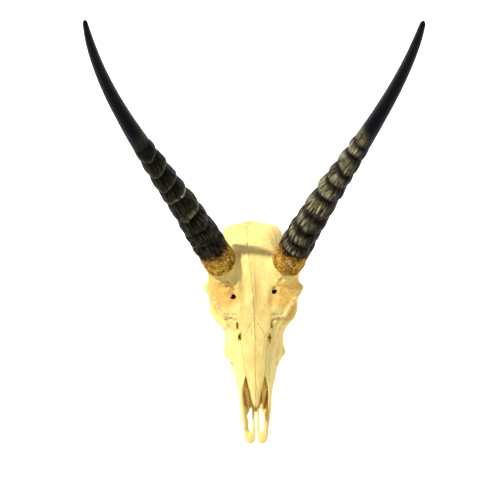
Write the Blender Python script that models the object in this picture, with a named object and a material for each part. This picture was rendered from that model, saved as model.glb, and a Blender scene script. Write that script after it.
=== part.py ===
"""A common reedbuck's skull with its two horns, without the lower jaw, at real size.

The skull rests on its cheek teeth and on the two bony processes behind the ears, nose towards -Y, as on a table.
Shapes are laid out in skull coordinates, in millimetres: x to the animal's left, y back from the tip of the
snout, z up from the table. The last step moves everything so that the origin is at the middle of the base.
"""

import math

import bmesh
import bpy
import numpy as np
from mathutils import Vector

MM = 0.001

# Driving dimensions, in millimetres unless the name says otherwise.
ORBIT_CENTRE = (47, 149, 62)
ORBIT_RADII = (25, 18.5, 18.5)
HORN_DEPTH_SHARE = 1.14
COLLAR_SWELL = 0.8
PEDICLE_RADIUS = 16.0
CORE_RADIUS = 13.0
CORE_LENGTH = 66.0
FIT_GAP = 0.4
RING_RISE_SHARE = 0.3
CROWN_HEIGHT = 8.5
ROOT_DEPTH = 4.5
SNOUT_LEAN = 0.02
SNOUT_LEAN_FROM = 122.0

BODY_VOXEL = 2.2
FINE_VOXEL = 1.5
SKULL_TRIANGLES = 4600

# Each horn's centre line is a cubic Bezier curve; the two grew a little differently.
HORN_CURVES = {
    "horn_left": ((37.5, 192, 101), (81.8, 259, 182), (149.6, 302, 274), (163, 339, 384)),
    "horn_right": ((-39, 192, 101), (-90.2, 257, 182), (-161.6, 299, 274), (-168.3, 339.5, 385)),
}
# How far up the horn the groove below each ring lies, and the last one above them all.
RING_GROOVES = {
    "horn_left": (24, 38, 55, 75.5, 102.5, 123, 141, 163.5, 180),
    "horn_right": (25, 40, 57.5, 78, 104, 123, 142.5, 164, 181),
}
# How far each ring stands out at the front, from the lowest to the highest.
RING_HEIGHTS = (1.8, 2.3, 2.7, 3.1, 3.2, 3.0, 2.6, 1.8)
# The sheath's radius from side to side, by distance from its base.
HORN_TAPER = ((0, 18.0), (30, 17.2), (60, 15.9), (100, 14.0), (140, 11.9), (180, 9.9), (220, 8.1), (260, 6.7))
HORN_TAPER += ((300, 5.3), (320, 4.5), (335, 3.5), (350, 2.3))
TIP_ROUNDING = 5.0
# The way each sheath's lower edge faces: more upright than the horn, so that the edge follows the brow.
SEAT_NORMAL = (0.27, 0.35, 0.89)
# How far the rings lean from square across the horn, towards the front and towards the middle.
RING_LEAN_FRONT = 0.12
RING_LEAN_MIDDLE = 0.2

# Half outlines across the skull, each from the middle of the roof, down the side, to the middle of the floor.
FACE = {
    68: ((0, 53.2), (9, 52), (15.5, 42), (20.8, 26), (19.2, 14), (0, 14)),
    80: ((0, 58), (12, 56), (18.5, 44), (23.6, 26), (22, 13), (0, 14)),
    95: ((0, 63), (14, 60.5), (22, 47), (28, 28), (25.2, 11), (0, 15)),
    108: ((0, 67.5), (16, 65), (25, 50), (32.5, 29), (32.5, 10), (0, 16)),
    120: ((0, 72), (19, 70), (28.5, 54), (32.4, 33), (32.4, 10), (0, 16)),
    132: ((0, 78), (22, 76), (30.5, 60), (33, 36), (32, 10), (0, 16)),
    145: ((0, 85), (25, 83), (28, 66), (30, 42), (31, 10), (0, 16)),
    160: ((0, 92), (28, 90), (26, 70), (27, 44), (29, 11), (0, 17)),
    172: ((0, 97), (30, 95), (26, 74), (22, 50), (17, 27), (0, 27)),
}
BRAINCASE = {
    162: ((0, 93), (22, 91), (29, 76), (25, 54), (14, 38), (0, 36)),
    185: ((0, 102), (24, 99), (31, 78), (28, 54), (16, 36), (0, 33)),
    205: ((0, 99), (23, 95), (33, 75), (32, 52), (18, 33), (0, 30)),
    225: ((0, 87), (22, 84), (34.5, 68), (33, 47), (18, 30), (0, 28)),
    240: ((0, 76.5), (23, 75), (34.5, 63), (31, 43), (18, 28), (0, 27)),
    250: ((0, 67.5), (22, 67), (31, 56), (29.5, 40), (18, 27), (0, 27)),
    256: ((0, 59.5), (14, 58), (22, 49), (23, 38), (14, 28), (0, 28)),
}
BROW = {
    128: ((0, 75), (17, 74), (27, 70), (30, 65), (25, 60), (0, 57)),
    140: ((0, 82), (20, 81), (34, 77), (37, 72), (31, 67), (0, 61)),
    153: ((0, 89), (25, 88), (42, 84), (47, 79), (38, 73), (0, 65)),
    163: ((0, 93.5), (29, 94), (48, 88), (55, 82), (44, 76), (0, 69)),
    170: ((0, 96), (30, 97), (49, 91), (57.5, 83), (46, 76), (0, 71)),
    178: ((0, 99), (30, 100), (41, 96), (44.5, 89), (39, 80), (0, 74)),
    188: ((0, 102), (28, 101), (37, 98), (40, 90), (34, 80), (0, 76)),
    204: ((0, 99), (24, 96), (31, 91), (34, 84), (28, 76), (0, 72)),
}
NASAL_CAVITY = {
    44: ((0, 40), (6, 39), (10.5, 33), (11.5, 25), (9, 18.5), (0, 18)),
    60: ((0, 47), (7, 45.5), (12.5, 38), (15.5, 26), (12.5, 18.5), (0, 18)),
    80: ((0, 54), (9, 52), (15.5, 42), (19, 28), (14, 19), (0, 18.5)),
    105: ((0, 62.5), (14, 60), (19.5, 48), (22, 32), (14, 21), (0, 20)),
    124: ((0, 68), (20, 66), (24, 54), (22, 38), (14, 24), (0, 22)),
    133: ((0, 64), (13, 62), (18, 52), (17, 40), (10, 30), (0, 28)),
}
PALATE_VAULT = {
    88: ((0, 11), (9, 11), (14, 6), (15, 0), (15, -6), (0, -6)),
    108: ((0, 15), (11, 14.5), (17, 9), (18.5, 0), (18.5, -6), (0, -6)),
    145: ((0, 15.5), (13, 15), (18.5, 9), (20, 0), (20, -6), (0, -6)),
    180: ((0, 17), (13, 16), (19, 9), (20, 0), (20, -6), (0, -6)),
}
NASAL_BONES = {
    36: ((0, 46.6), (1, 46.4), (1.7, 45.6), (1.6, 44.2), (0.8, 43.6), (0, 43.6)),
    40: ((0, 47.8), (2, 47.2), (3.2, 45.8), (3.1, 44.2), (1.8, 43.8), (0, 44.0)),
    46: ((0, 49.3), (3.1, 48.3), (4.9, 46.4), (4.7, 44.5), (2.6, 44.7), (0, 45.4)),
    54: ((0, 51.5), (4.2, 50.2), (6.5, 47.8), (6.2, 45.4), (3.4, 46.1), (0, 47.3)),
    61: ((0, 53.5), (5.1, 52.0), (7.7, 49.5), (7.3, 46.8), (4.4, 47.7), (0, 49.4)),
    68: ((0, 55.3), (6.2, 53.8), (9.2, 50.9), (8.8, 48.1), (5, 49.0), (0, 51.1)),
    78: ((0, 58), (8.4, 56.6), (12.6, 53), (11.4, 49.5), (6, 50.5), (0, 53.4)),
}
NOSE_FLOOR = {
    39: ((0, 16.5), (8, 17.2), (14.6, 18), (16, 15.4), (14.4, 12.8), (0, 12.4)),
    50: ((0, 17), (8, 17.6), (15, 18.6), (17, 15.6), (15.4, 12.8), (0, 12.6)),
    72: ((0, 18), (9, 18.6), (17, 19.4), (19, 16), (17.4, 13), (0, 13.4)),
}
# The upright plate at each side of the nose: y, then its lower outer and upper edge, x and z.
NOSE_PLATES = (
    (5, (9.8, 10.5), (9.8, 14.5)),
    (20, (13.0, 12.5), (12.8, 19)),
    (33, (15.7, 14), (13.8, 27.5)),
    (46, (17.0, 15), (15.4, 37)),
    (58, (17.8, 15.5), (15.6, 46)),
    (66, (19.2, 16), (14.4, 50.5)),
    (80, (21.2, 16), (14.6, 55)),
)
NOSE_PLATE_HALF = 1.7

# Cheek teeth of one side, front to back: name, length, width.
CHEEK_TEETH = (
    ("premolar_2", 8.5, 7.0),
    ("premolar_3", 9.5, 8.5),
    ("premolar_4", 9.5, 10.0),
    ("molar_1", 12.5, 11.5),
    ("molar_2", 14.0, 12.0),
    ("molar_3", 14.5, 11.0),
)
TOOTH_ROW_START = 96.0
TOOTH_ROW_FRONT_X = 21.5
TOOTH_ROW_BACK_X = 26.0


def clear_scene():
    for obj in list(bpy.data.objects):
        bpy.data.objects.remove(obj)


def spline(points, steps, closed=False):
    """A Catmull-Rom curve through the points, with that many steps between neighbours."""
    p = np.asarray(points, float)
    count = len(p)
    spans = count if closed else count - 1
    made = []
    for i in range(spans):
        if closed:
            a, b, c, d = p[i - 1], p[i], p[(i + 1) % count], p[(i + 2) % count]
        else:
            a, b, c, d = p[max(i - 1, 0)], p[i], p[i + 1], p[min(i + 2, count - 1)]
        for k in range(steps):
            t = k / steps
            made.append(
                0.5
                * (2 * b + (c - a) * t + (2 * a - 5 * b + 4 * c - d) * t * t + (3 * b - a - 3 * c + d) * t**3)
            )
    if not closed:
        made.append(p[-1])
    return np.array(made)


def skin(rings):
    """Points and faces of a closed body over rings of points, with flat ends."""
    count = len(rings[0])
    points = np.concatenate(rings)
    faces = []
    for i in range(len(rings) - 1):
        for j in range(count):
            a, b = i * count + j, i * count + (j + 1) % count
            faces.append((a, b, b + count, a + count))
    faces.append(tuple(range(count))[::-1])
    faces.append(tuple(range(len(points) - count, len(points))))
    return points, faces


def sections(outlines, steps_along=3, steps_round=3):
    """A closed body through half outlines that are mirrored across the skull's middle plane."""
    stations = sorted(outlines)
    halves = np.array([outlines[y] for y in stations], float)
    along = spline(np.concatenate([np.array(stations, float)[:, None], halves.reshape(len(stations), -1)], 1), steps_along)
    rings = []
    for row in along:
        half = row[1:].reshape(-1, 2)
        mirrored = half[-2:0:-1] * (-1, 1)
        outline = spline(np.concatenate([half, mirrored]), steps_round, closed=True)
        rings.append(np.column_stack([outline[:, 0], np.full(len(outline), row[0]), outline[:, 1]]))
    return skin(rings)


def ball(centre, radii, turn_x=0.0, rings=10, sides=16):
    """An ellipsoid, turned by turn_x degrees about its own x axis."""
    a = math.radians(turn_x)
    made = []
    for i in range(1, rings):
        polar = math.pi * i / rings
        round_ = np.linspace(0, 2 * math.pi, sides, endpoint=False)
        ring = np.column_stack(
            [
                radii[0] * np.sin(polar) * np.cos(round_),
                radii[1] * np.sin(polar) * np.sin(round_),
                np.full(sides, radii[2] * math.cos(polar)),
            ]
        )
        y = ring[:, 1] * math.cos(a) - ring[:, 2] * math.sin(a)
        z = ring[:, 1] * math.sin(a) + ring[:, 2] * math.cos(a)
        made.append(np.column_stack([ring[:, 0], y, z]) + centre)
    return skin(made)


def rod(points, radii, flat=1.0, steps=4, sides=10, closed=False):
    """A round or flattened bar through the points; flat is its width over its height."""
    path = spline(points, steps, closed)
    size = spline(np.array(radii, float)[:, None], steps, closed)[:, 0]
    rings = []
    for i, p in enumerate(path):
        after = path[(i + 1) % len(path)] if closed else path[min(i + 1, len(path) - 1)]
        along = after - path[i - 1 if closed or i else 0]
        along = along / np.linalg.norm(along)
        up = np.array((0.0, 0.0, 1.0)) if abs(along[2]) < 0.9 else np.array((0.0, 1.0, 0.0))
        side = np.cross(along, up)
        side /= np.linalg.norm(side)
        up = np.cross(side, along)
        angle = np.linspace(0, 2 * math.pi, sides, endpoint=False)[:, None]
        rings.append(p + size[i] * (flat * side * np.cos(angle) + up * np.sin(angle)))
    points, faces = skin(rings)
    if closed:
        count = len(rings) * sides
        faces = faces[:-2]
        last = count - sides
        faces += [(last + j, last + (j + 1) % sides, (j + 1) % sides, j) for j in range(sides)]
    return points, faces


def slab(stations, half):
    """An upright rounded plate: at each y, a lower and an upper edge, x and z, and its half thickness."""
    ys = np.array([[s[0], *s[1], *s[2]] for s in stations], float)
    rings = []
    for y, x0, z0, x1, z1 in spline(ys, 3):
        low, high = np.array((x0, z0)), np.array((x1, z1))
        way = (high - low) / np.linalg.norm(high - low)
        out = np.array((way[1], -way[0])) * half
        bow = (low + high) / 2 + out * 0.35
        outline = [low - way, low + out, bow + out, high + out, high + way, high - out, bow - out, low - out]
        rings.append(np.array([(x, y, z) for x, z in outline]))
    return skin(rings)


def mirrored(body):
    points, faces = body
    return points * (-1, 1, 1), [f[::-1] for f in faces]


def both_sides(bodies):
    return [*bodies, *[mirrored(b) for b in bodies]]


def solid(name, bodies):
    """One object holding the bodies, in metres, with every face turned outwards."""
    mesh = bpy.data.meshes.new(name)
    points, faces = [], []
    for body_points, body_faces in bodies:
        start = len(points)
        points.extend((np.asarray(body_points, float) * MM).tolist())
        faces.extend(tuple(start + i for i in face) for face in body_faces)
    mesh.from_pydata(points, [], faces)
    work = bmesh.new()
    work.from_mesh(mesh)
    bmesh.ops.recalc_face_normals(work, faces=work.faces)
    work.to_mesh(mesh)
    work.free()
    obj = bpy.data.objects.new(name, mesh)
    bpy.context.scene.collection.objects.link(obj)
    return obj


def settle(obj):
    """Makes the object's modifiers part of its mesh."""
    bpy.context.view_layer.update()
    made = bpy.data.meshes.new_from_object(obj.evaluated_get(bpy.context.evaluated_depsgraph_get()))
    obj.modifiers.clear()
    obj.data = made
    return obj


def fuse(obj, voxel, smoothing):
    """Joins overlapping bodies into one skin and softens the creases between them."""
    remesh = obj.modifiers.new("fuse", "REMESH")
    remesh.mode = "VOXEL"
    remesh.voxel_size = voxel * MM
    if smoothing:
        smooth = obj.modifiers.new("soften", "SMOOTH")
        smooth.factor = 0.5
        smooth.iterations = smoothing
    return settle(obj)


def cut(obj, cutter, solver="EXACT"):
    carve = obj.modifiers.new("cut", "BOOLEAN")
    carve.operation = "DIFFERENCE"
    carve.solver = solver
    carve.object = cutter
    settle(obj)
    bpy.data.objects.remove(cutter)
    return obj


def add_bodies(obj, bodies):
    """Puts more closed bodies into the object's mesh, overlapping what is there."""
    other = solid("more", bodies)
    work = bmesh.new()
    work.from_mesh(obj.data)
    work.from_mesh(other.data)
    work.to_mesh(obj.data)
    work.free()
    bpy.data.objects.remove(other)
    return obj


def main_masses():
    """The bones that make the skull's body: face, brow, braincase, cheek arches and tooth beds."""
    brow_to_horn = [(33, 178, 84), (37, 188, 95), (37.8, 192.5, 102), (41, 198, 110)]
    arch = [(28, 121, 34), (32, 132, 40), (39.6, 140.5, 41.5), (46.2, 148, 42.5), (48.8, 158, 44.5), (47.6, 174, 49.5)]
    arch += [(45, 190, 53), (41, 205, 54), (34.5, 220, 53), (27, 231, 50)]
    tooth_bed = [(20.5, 94, 19), (26, 108, 20), (27.5, 130, 20), (27.5, 150, 20), (26, 165, 22)]
    side = [
        rod(brow_to_horn, (19, 17, PEDICLE_RADIUS, PEDICLE_RADIUS)),
        rod(arch, (8, 6.6, 5.6, 5.2, 5, 4.6, 4.2, 4.4, 6, 8), flat=0.72),
        rod(tooth_bed, (6, 9, 10, 10, 8), flat=0.72),
        ball((30.2, 108.5, 23), (6.8, 7, 7)),
        ball((34, 156, 38.5), (14, 19, 6.5)),
        ball((23, 236, 37), (12, 14, 12)),
    ]
    return [sections(FACE), sections(BRAINCASE), sections(BROW), *both_sides(side)]


def edges_and_processes():
    """The thinner bones: orbit rims, nose, cheek-to-brow bars, and what stands out behind and below."""
    rim = [(30.5, 131, 64), (35, 138, 73.5), (44.5, 151, 80), (53.6, 165.5, 80.5), (53, 171, 72), (50, 170.5, 60)]
    rim += [(48.5, 164, 49), (46.4, 152, 44.5), (38.5, 141, 43.5), (31.5, 131.5, 50)]
    side = [
        rod(rim, (3.1, 2.8, 2.8, 3, 3.2, 3.3, 3.4, 3.2, 3.2, 3.2), steps=3, closed=True),
        slab(NOSE_PLATES, NOSE_PLATE_HALF),
        ball((6.9, 8.3, 12.2), (6.5, 7.2, 3), turn_x=4),
        rod([(9, 12.5, 12.4), (11.5, 20, 13), (11.9, 29, 14), (11, 38, 16)], (2.1, 2.3, 2.4, 2.6), flat=1.3),
        rod([(2.7, 7, 12.4), (2.65, 24, 13.4), (2.75, 40, 15.4), (3.2, 60, 17)], (1.7, 1.65, 1.8, 2.2)),
        rod([(23, 240, 34), (24.5, 245, 22), (22.5, 247, 8), (21.5, 246.5, -3)], (7.5, 5.4, 4.2, 3.4), flat=0.75),
        ball((10.5, 257, 29), (7.6, 9.5, 9.5), turn_x=-20),
        ball((16, 229, 23), (7.5, 11.5, 10)),
        rod([(13.5, 158, 20), (12.5, 176, 24), (12, 190, 33)], (3.4, 3, 4), flat=0.6),
        rod([(0, 254, 63), (9, 253, 62), (18, 249, 56), (24.5, 244, 47), (27, 240, 38)], (3.2, 3.2, 3, 3, 3)),
    ]
    middle = [
        sections(NASAL_BONES),
        sections(NOSE_FLOOR),
        rod([(0, 44, 17), (0, 80, 19), (0, 128, 26)], (2.2, 2.4, 3), flat=0.6),
        slab([(60, (0, 17), (0, 24)), (90, (0, 18), (0, 40)), (128, (0, 22), (0, 66))], 1.3),
        rod([(0, 176, 36), (0, 210, 30), (0, 244, 27.5), (0, 258, 27)], (9, 9, 8, 7), flat=1.3),
    ]
    return [*middle, *both_sides(side)]


def hollows():
    """What the skull is open for: eyes, nose, palate, brain and the hollows beside the braincase."""
    back_wall = (ORBIT_CENTRE[0] - 6, ORBIT_CENTRE[1] + 12, ORBIT_CENTRE[2] - 1)
    side = [
        ball(ORBIT_CENTRE, ORBIT_RADII, rings=12, sides=20),
        ball(back_wall, (17, 17, 15)),
        ball((36.5, 190, 66), (9, 22, 13)),
    ]
    middle = [
        sections(NASAL_CAVITY),
        sections(PALATE_VAULT),
        rod([(0, 270, 37), (0, 254, 39), (0, 240, 44)], (9, 8.6, 9), flat=1.1),
        ball((0, 218, 60), (20, 27, 21)),
        rod([(0, 160, 26), (0, 175, 29), (0, 190, 27)], (8, 8.5, 6)),
    ]
    return [*middle, *both_sides(side)]


def small_openings():
    """The small holes of the face: two slots beside the nose root, one above each eye, one before each cheek."""
    side = [
        ball((19.6, 125.5, 73), (1.7, 5.2, 8), rings=6, sides=8),
        ball((16.9, 111.5, 67), (2.4, 6.0, 8), rings=6, sides=8),
        rod([(32, 86, 31), (25.5, 92, 31), (20, 99, 33)], (2.4, 2.4, 2.2), steps=1, sides=8),
    ]
    over_eyes = []
    for sign, y in ((-1, 154), (1, 159)):
        path = [(sign * 22.8, y, 100), (sign * 23.2, y + 0.5, 88), (sign * 25, y, 78)]
        over_eyes.append(rod(path, (2.9, 2.5, 2), steps=1, sides=8))
    return [*both_sides(side), *over_eyes]


# Shallow forms pressed into the bone or raised on it: centre, radii, and how far the surface moves outwards.
RELIEF = (
    ((22.5, 150, 92), (8, 24, 14), -2.2),
    ((22, 172, 100), (7, 14, 12), -1.2),
    ((9, 158, 95), (7, 24, 14), -1.0),
    ((0, 160, 96), (3.5, 50, 16), 1.0),
    ((0, 110, 70), (2.2, 70, 16), 0.5),
    ((31, 121, 60), (9, 10, 12), -2.0),
    ((27, 102, 46), (8, 18, 10), -1.4),
    ((30, 210, 78), (9, 22, 14), -1.6),
    ((0, 226, 90), (30, 5, 16), 0.7),
    ((30, 158, 95), (9, 8, 8), 0.8),
)


def press_relief(obj):
    """Moves each point along its normal by the relief forms that reach it."""
    mesh = obj.data
    count = len(mesh.vertices)
    points = np.empty(count * 3, np.float32)
    mesh.vertices.foreach_get("co", points)
    points = points.reshape(-1, 3).astype(float)
    normals = np.empty(count * 3, np.float32)
    mesh.vertices.foreach_get("normal", normals)
    normals = normals.reshape(-1, 3)
    reach = np.abs(points / MM * (1, 0, 0)) + points / MM * (0, 1, 1)
    move = np.zeros(count)
    for centre, radii, height in RELIEF:
        away = (((reach - centre) / radii) ** 2).sum(1)
        move += height * np.clip(1 - away, 0, 1) ** 2
    points += normals * (move * MM)[:, None]
    mesh.vertices.foreach_set("co", points.astype(np.float32).ravel())
    mesh.update()


def lean_snout(obj):
    """The skull's long axis turns a little, so that the snout points slightly to the animal's left."""
    for vertex in obj.data.vertices:
        vertex.co.x += SNOUT_LEAN * (SNOUT_LEAN_FROM * MM - vertex.co.y)
    obj.data.update()


def bezier(curve, t):
    a, b, c, d = (np.array(p, float) for p in curve)
    return (1 - t) ** 3 * a + 3 * t * (1 - t) ** 2 * b + 3 * t * t * (1 - t) * c + t**3 * d


class HornPath:
    """A horn's centre line by distance from its base, with the directions that its rings lie in."""

    def __init__(self, curve):
        steps = 400
        self.points = np.array([bezier(curve, i / steps) for i in range(steps + 1)])
        gaps = np.linalg.norm(np.diff(self.points, axis=0), axis=1)
        self.reach = np.concatenate([[0], np.cumsum(gaps)])
        self.length = self.reach[-1]
        self.side = 1 if curve[0][0] > 0 else -1
        self.seat = np.array(SEAT_NORMAL) * (self.side, 1, 1)
        self.seat /= np.linalg.norm(self.seat)
        self.front = np.array((0.0, -1.0, 0.35))

    def at(self, s):
        return np.array([np.interp(s, self.reach, self.points[:, k]) for k in range(3)])

    def way(self, s):
        step = self.at(min(s + 1, self.length)) - self.at(max(s - 1, 0))
        return step / np.linalg.norm(step)

    def front_of(self, way):
        front = self.front - way * self.front.dot(way)
        return front / np.linalg.norm(front)

    def ring_normal(self, s):
        """The base lies on the seat; above it the rings lean to the front and the middle, less towards the tip."""
        way = self.way(s)
        front = self.front_of(way)
        across = np.cross(way, front) * self.side
        fade = math.exp(-max(0.0, s - 120) / 80)
        leaning = way + (front * RING_LEAN_FRONT - across * RING_LEAN_MIDDLE) * fade
        seated = math.exp(-s / 12)
        normal = leaning * (1 - seated) + self.seat * seated
        return normal / np.linalg.norm(normal)

    def ring(self, s, radius_of, sides):
        """Points round the horn in the ring plane at s, seen from the front first."""
        way, normal, centre = self.way(s), self.ring_normal(s), self.at(s)
        front = self.front_of(way)
        across = np.cross(way, front)
        made = []
        for k in range(sides):
            angle = 2 * math.pi * k / sides
            flat = front * math.cos(angle) * HORN_DEPTH_SHARE + across * math.sin(angle)
            spoke = flat * radius_of(s, angle)
            spoke = spoke - way * (spoke.dot(normal) / way.dot(normal))
            made.append(centre + spoke)
        return np.array(made)


def horn_radius(s, length):
    """The sheath's plain taper, without its rings, closing to a small round tip."""
    body = np.interp(s, [step[0] for step in HORN_TAPER], [step[1] for step in HORN_TAPER])
    into_tip = max(0.0, (s - (length - TIP_ROUNDING)) / TIP_ROUNDING)
    return body * math.sqrt(max(0.02, 1 - into_tip**2)) + COLLAR_SWELL * math.exp(-(((s - 8) / 7) ** 2))


def ring_swell(s, angle, grooves):
    """How much a ring stands out: a lip low on each ring, strongest at the front and on the middle rings."""
    if not grooves[0] <= s < grooves[-1]:
        return 0.0
    i = max(k for k in range(len(grooves) - 1) if grooves[k] <= s)
    phase = (s - grooves[i]) / (grooves[i + 1] - grooves[i])
    if phase < RING_RISE_SHARE:
        rise = math.sin(math.pi / 2 * phase / RING_RISE_SHARE)
    else:
        rise = math.cos(math.pi / 2 * (phase - RING_RISE_SHARE) / (1 - RING_RISE_SHARE))
    return RING_HEIGHTS[i] * (0.75 + 0.25 * math.cos(angle)) * (rise - 0.45)


def horn_sheath(name, sides=14):
    """The keratin sheath, hollow over its bony core, with one ring lip after another on its lower half."""
    path = HornPath(HORN_CURVES[name])
    grooves = RING_GROOVES[name]
    stations = [0.0, 3.5, 9.0, grooves[0] - 2.5]
    for low, high in zip(grooves[:-1], grooves[1:]):
        stations += [low + (high - low) * share for share in (0.0, 0.14, RING_RISE_SHARE, 0.62)]
    smooth_from, smooth_steps = grooves[-1], 9
    smooth_to = path.length - TIP_ROUNDING
    stations += [smooth_from + (smooth_to - smooth_from) * i / smooth_steps for i in range(smooth_steps + 1)]
    stations += [path.length - 3.4, path.length - 1.6, path.length - 0.5, path.length]

    def radius_of(s, angle):
        return horn_radius(s, path.length) + ring_swell(s, angle, grooves)

    rings = [path.ring(s, radius_of, sides) for s in stations]
    rings[0] = rings[0] + path.seat * FIT_GAP
    return solid(name, [skin(rings)])


def horn_core(name, grow=0.0):
    """The bony core that rises from the brow into the sheath; grow makes the hollow that it fits."""
    path = HornPath(HORN_CURVES[name])
    stations = [(-7.0 if grow == 0 else -3.0), 0.0, 20.0, 42.0, CORE_LENGTH - 4, CORE_LENGTH]
    sizes = [CORE_RADIUS, CORE_RADIUS, 10.4, 8.2, 6.0, 3.0]
    rings = []
    for s, size in zip(stations, sizes):
        beyond = min(s, 0.0)
        ring = path.ring(max(s, 0.0), lambda *_, r=size + grow: r, 12) + path.way(0) * beyond
        rings.append(ring + path.way(s if s > 0 else 0) * (grow if s == CORE_LENGTH else 0))
    return skin(rings)


def seat_clearance(name):
    """All that lies above the sheath's lower edge, within its outline and a little more, except the core."""
    path = HornPath(HORN_CURVES[name])
    low = path.ring(0.0, lambda *_: HORN_TAPER[0][1] + 6, 20)
    high = low + path.way(0) * 26 + path.seat * 8
    return skin([low, high])


def make_skull():
    obj = fuse(solid("skull", main_masses()), BODY_VOXEL, 8)
    cut(obj, fuse(solid("hollows", hollows()), BODY_VOXEL, 1))
    add_bodies(obj, edges_and_processes())
    fuse(obj, FINE_VOXEL, 3)
    press_relief(obj)
    fewer = obj.modifiers.new("fewer", "DECIMATE")
    triangles = sum(len(p.vertices) - 2 for p in obj.data.polygons)
    fewer.ratio = SKULL_TRIANGLES / triangles
    settle(obj)
    for opening in small_openings():
        cut(obj, solid("opening", [opening]))
    return obj


def split_snout(obj):
    """The two front bones don't meet: a slit parts them, wider towards the tip."""
    outline = [(-2.8, -4, 2), (2.8, -4, 2), (1.0, 15, 2), (0.9, 36.5, 2), (-0.9, 36.5, 2), (-1.0, 15, 2)]
    low = np.array(outline, float)
    return cut(obj, solid("slit", [skin([low, low + (0, 0, 22)])]))


def seat_horns(obj):
    """Flattens the brow under each sheath and leaves the bony core standing."""
    for name in HORN_CURVES:
        cut(obj, solid("clearance", [seat_clearance(name)]))
        join = obj.modifiers.new("core", "BOOLEAN")
        join.operation = "UNION"
        core = solid("core", [horn_core(name)])
        join.object = core
        settle(obj)
        bpy.data.objects.remove(core)


def make_horn(name):
    obj = horn_sheath(name)
    return cut(obj, solid("hollow", [horn_core(name, FIT_GAP)]))


def tooth_places():
    """Each cheek tooth of the animal's left: name, middle x, middle y, length, width, turn in radians."""
    total = sum(length for _, length, _ in CHEEK_TEETH)
    y = TOOTH_ROW_START
    for name, length, width in CHEEK_TEETH:
        share = (y + length / 2 - TOOTH_ROW_START) / total
        x = TOOTH_ROW_FRONT_X + (TOOTH_ROW_BACK_X - TOOTH_ROW_FRONT_X) * math.sin(math.pi / 2 * min(1, share * 1.25))
        turn = 0.14 * (1 - share)
        yield name, x, y + length / 2, length, width, turn
        y += length + FIT_GAP


def tooth_body(x, y, length, width, turn, grow=0.0):
    """A high square-shouldered crown with two lobes along its cheek side, and the root that goes into the bone."""
    high = CROWN_HEIGHT + ROOT_DEPTH + grow
    levels = ((-8.0 if grow else 0.0, 0.94), (CROWN_HEIGHT * 0.5, 1.0), (high, 0.92))
    half_l, half_w = length / 2, width / 2
    outline = [(-0.86, -0.9), (0.86, -0.9), (1.0, -0.3), (0.93, 0.62), (0.5, 1.0), (0.06, 0.74)]
    outline += [(-0.06, 0.74), (-0.5, 1.0), (-0.93, 0.62), (-1.0, -0.3)]
    rings = []
    for z, share in levels:
        ring = []
        for along, out in outline:
            v = along * (half_l * share + grow)
            u = out * (half_w * share + grow)
            ring.append(
                (x + u * math.cos(turn) + v * math.sin(turn), y + v * math.cos(turn) - u * math.sin(turn), z)
            )
        rings.append(np.array(ring))
    return skin(rings)


def make_teeth():
    teeth = []
    for name, x, y, length, width, turn in tooth_places():
        body = tooth_body(x, y, length, width, turn)
        teeth.append(solid(f"{name}_left", [body]))
        teeth.append(solid(f"{name}_right", [mirrored(body)]))
    return teeth


def cut_sockets(obj):
    sockets = [tooth_body(x, y, length, width, turn, FIT_GAP) for _, x, y, length, width, turn in tooth_places()]
    for side in (sockets, [mirrored(b) for b in sockets]):
        for body in side:
            cut(obj, solid("socket", [body]))


def flatten_rear_feet(obj):
    """The two processes behind the ears are what the skull rests on at the back: flat at the table's height."""
    low, high = np.array(((-40, 225, 0), (40, 225, 0), (40, 265, 0), (-40, 265, 0)), float), -9.0
    cut(obj, solid("table", [skin([low + (0, 0, high), low])]))


def finish(obj, material, sharp_deg=50):
    obj.data.materials.clear()
    obj.data.materials.append(material)
    obj.data.shade_smooth()
    obj.data.set_sharp_from_angle(angle=math.radians(sharp_deg))


def material(name, colour, roughness):
    made = bpy.data.materials.new(name)
    made.use_nodes = True
    shader = made.node_tree.nodes["Principled BSDF"]
    shader.inputs["Base Color"].default_value = (*colour, 1)
    shader.inputs["Roughness"].default_value = roughness
    shader.inputs["Metallic"].default_value = 0.0
    made.diffuse_color = (*colour, 1)
    return made


def place_on_origin(objects):
    """The origin ends at the middle of the base of the whole object's box."""
    corners = np.array([tuple(v.co) for obj in objects for v in obj.data.vertices])
    low, high = corners.min(0), corners.max(0)
    stand = bpy.data.objects.new("stand", None)
    bpy.context.scene.collection.objects.link(stand)
    stand.location = Vector((-(low[0] + high[0]) / 2, -(low[1] + high[1]) / 2, -low[2]))
    for obj in objects:
        obj.parent = stand


def main():
    clear_scene()
    skull = make_skull()
    split_snout(skull)
    cut_sockets(skull)
    flatten_rear_feet(skull)
    teeth = make_teeth()
    for obj in (skull, *teeth):
        lean_snout(obj)
    seat_horns(skull)
    horns = [make_horn(name) for name in HORN_CURVES]

    bone = material("bone", (0.91, 0.80, 0.45), 0.6)
    enamel = material("tooth_enamel", (0.87, 0.80, 0.60), 0.35)
    keratin = material("horn_keratin", (0.06, 0.055, 0.045), 0.45)
    finish(skull, bone)
    for obj in teeth:
        finish(obj, enamel)
    for obj in horns:
        finish(obj, keratin)
    place_on_origin([skull, *teeth, *horns])


main()
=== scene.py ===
import itertools
import math

import bmesh
import bpy
import numpy as np
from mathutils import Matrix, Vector
from mathutils.bvhtree import BVHTree


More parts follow.
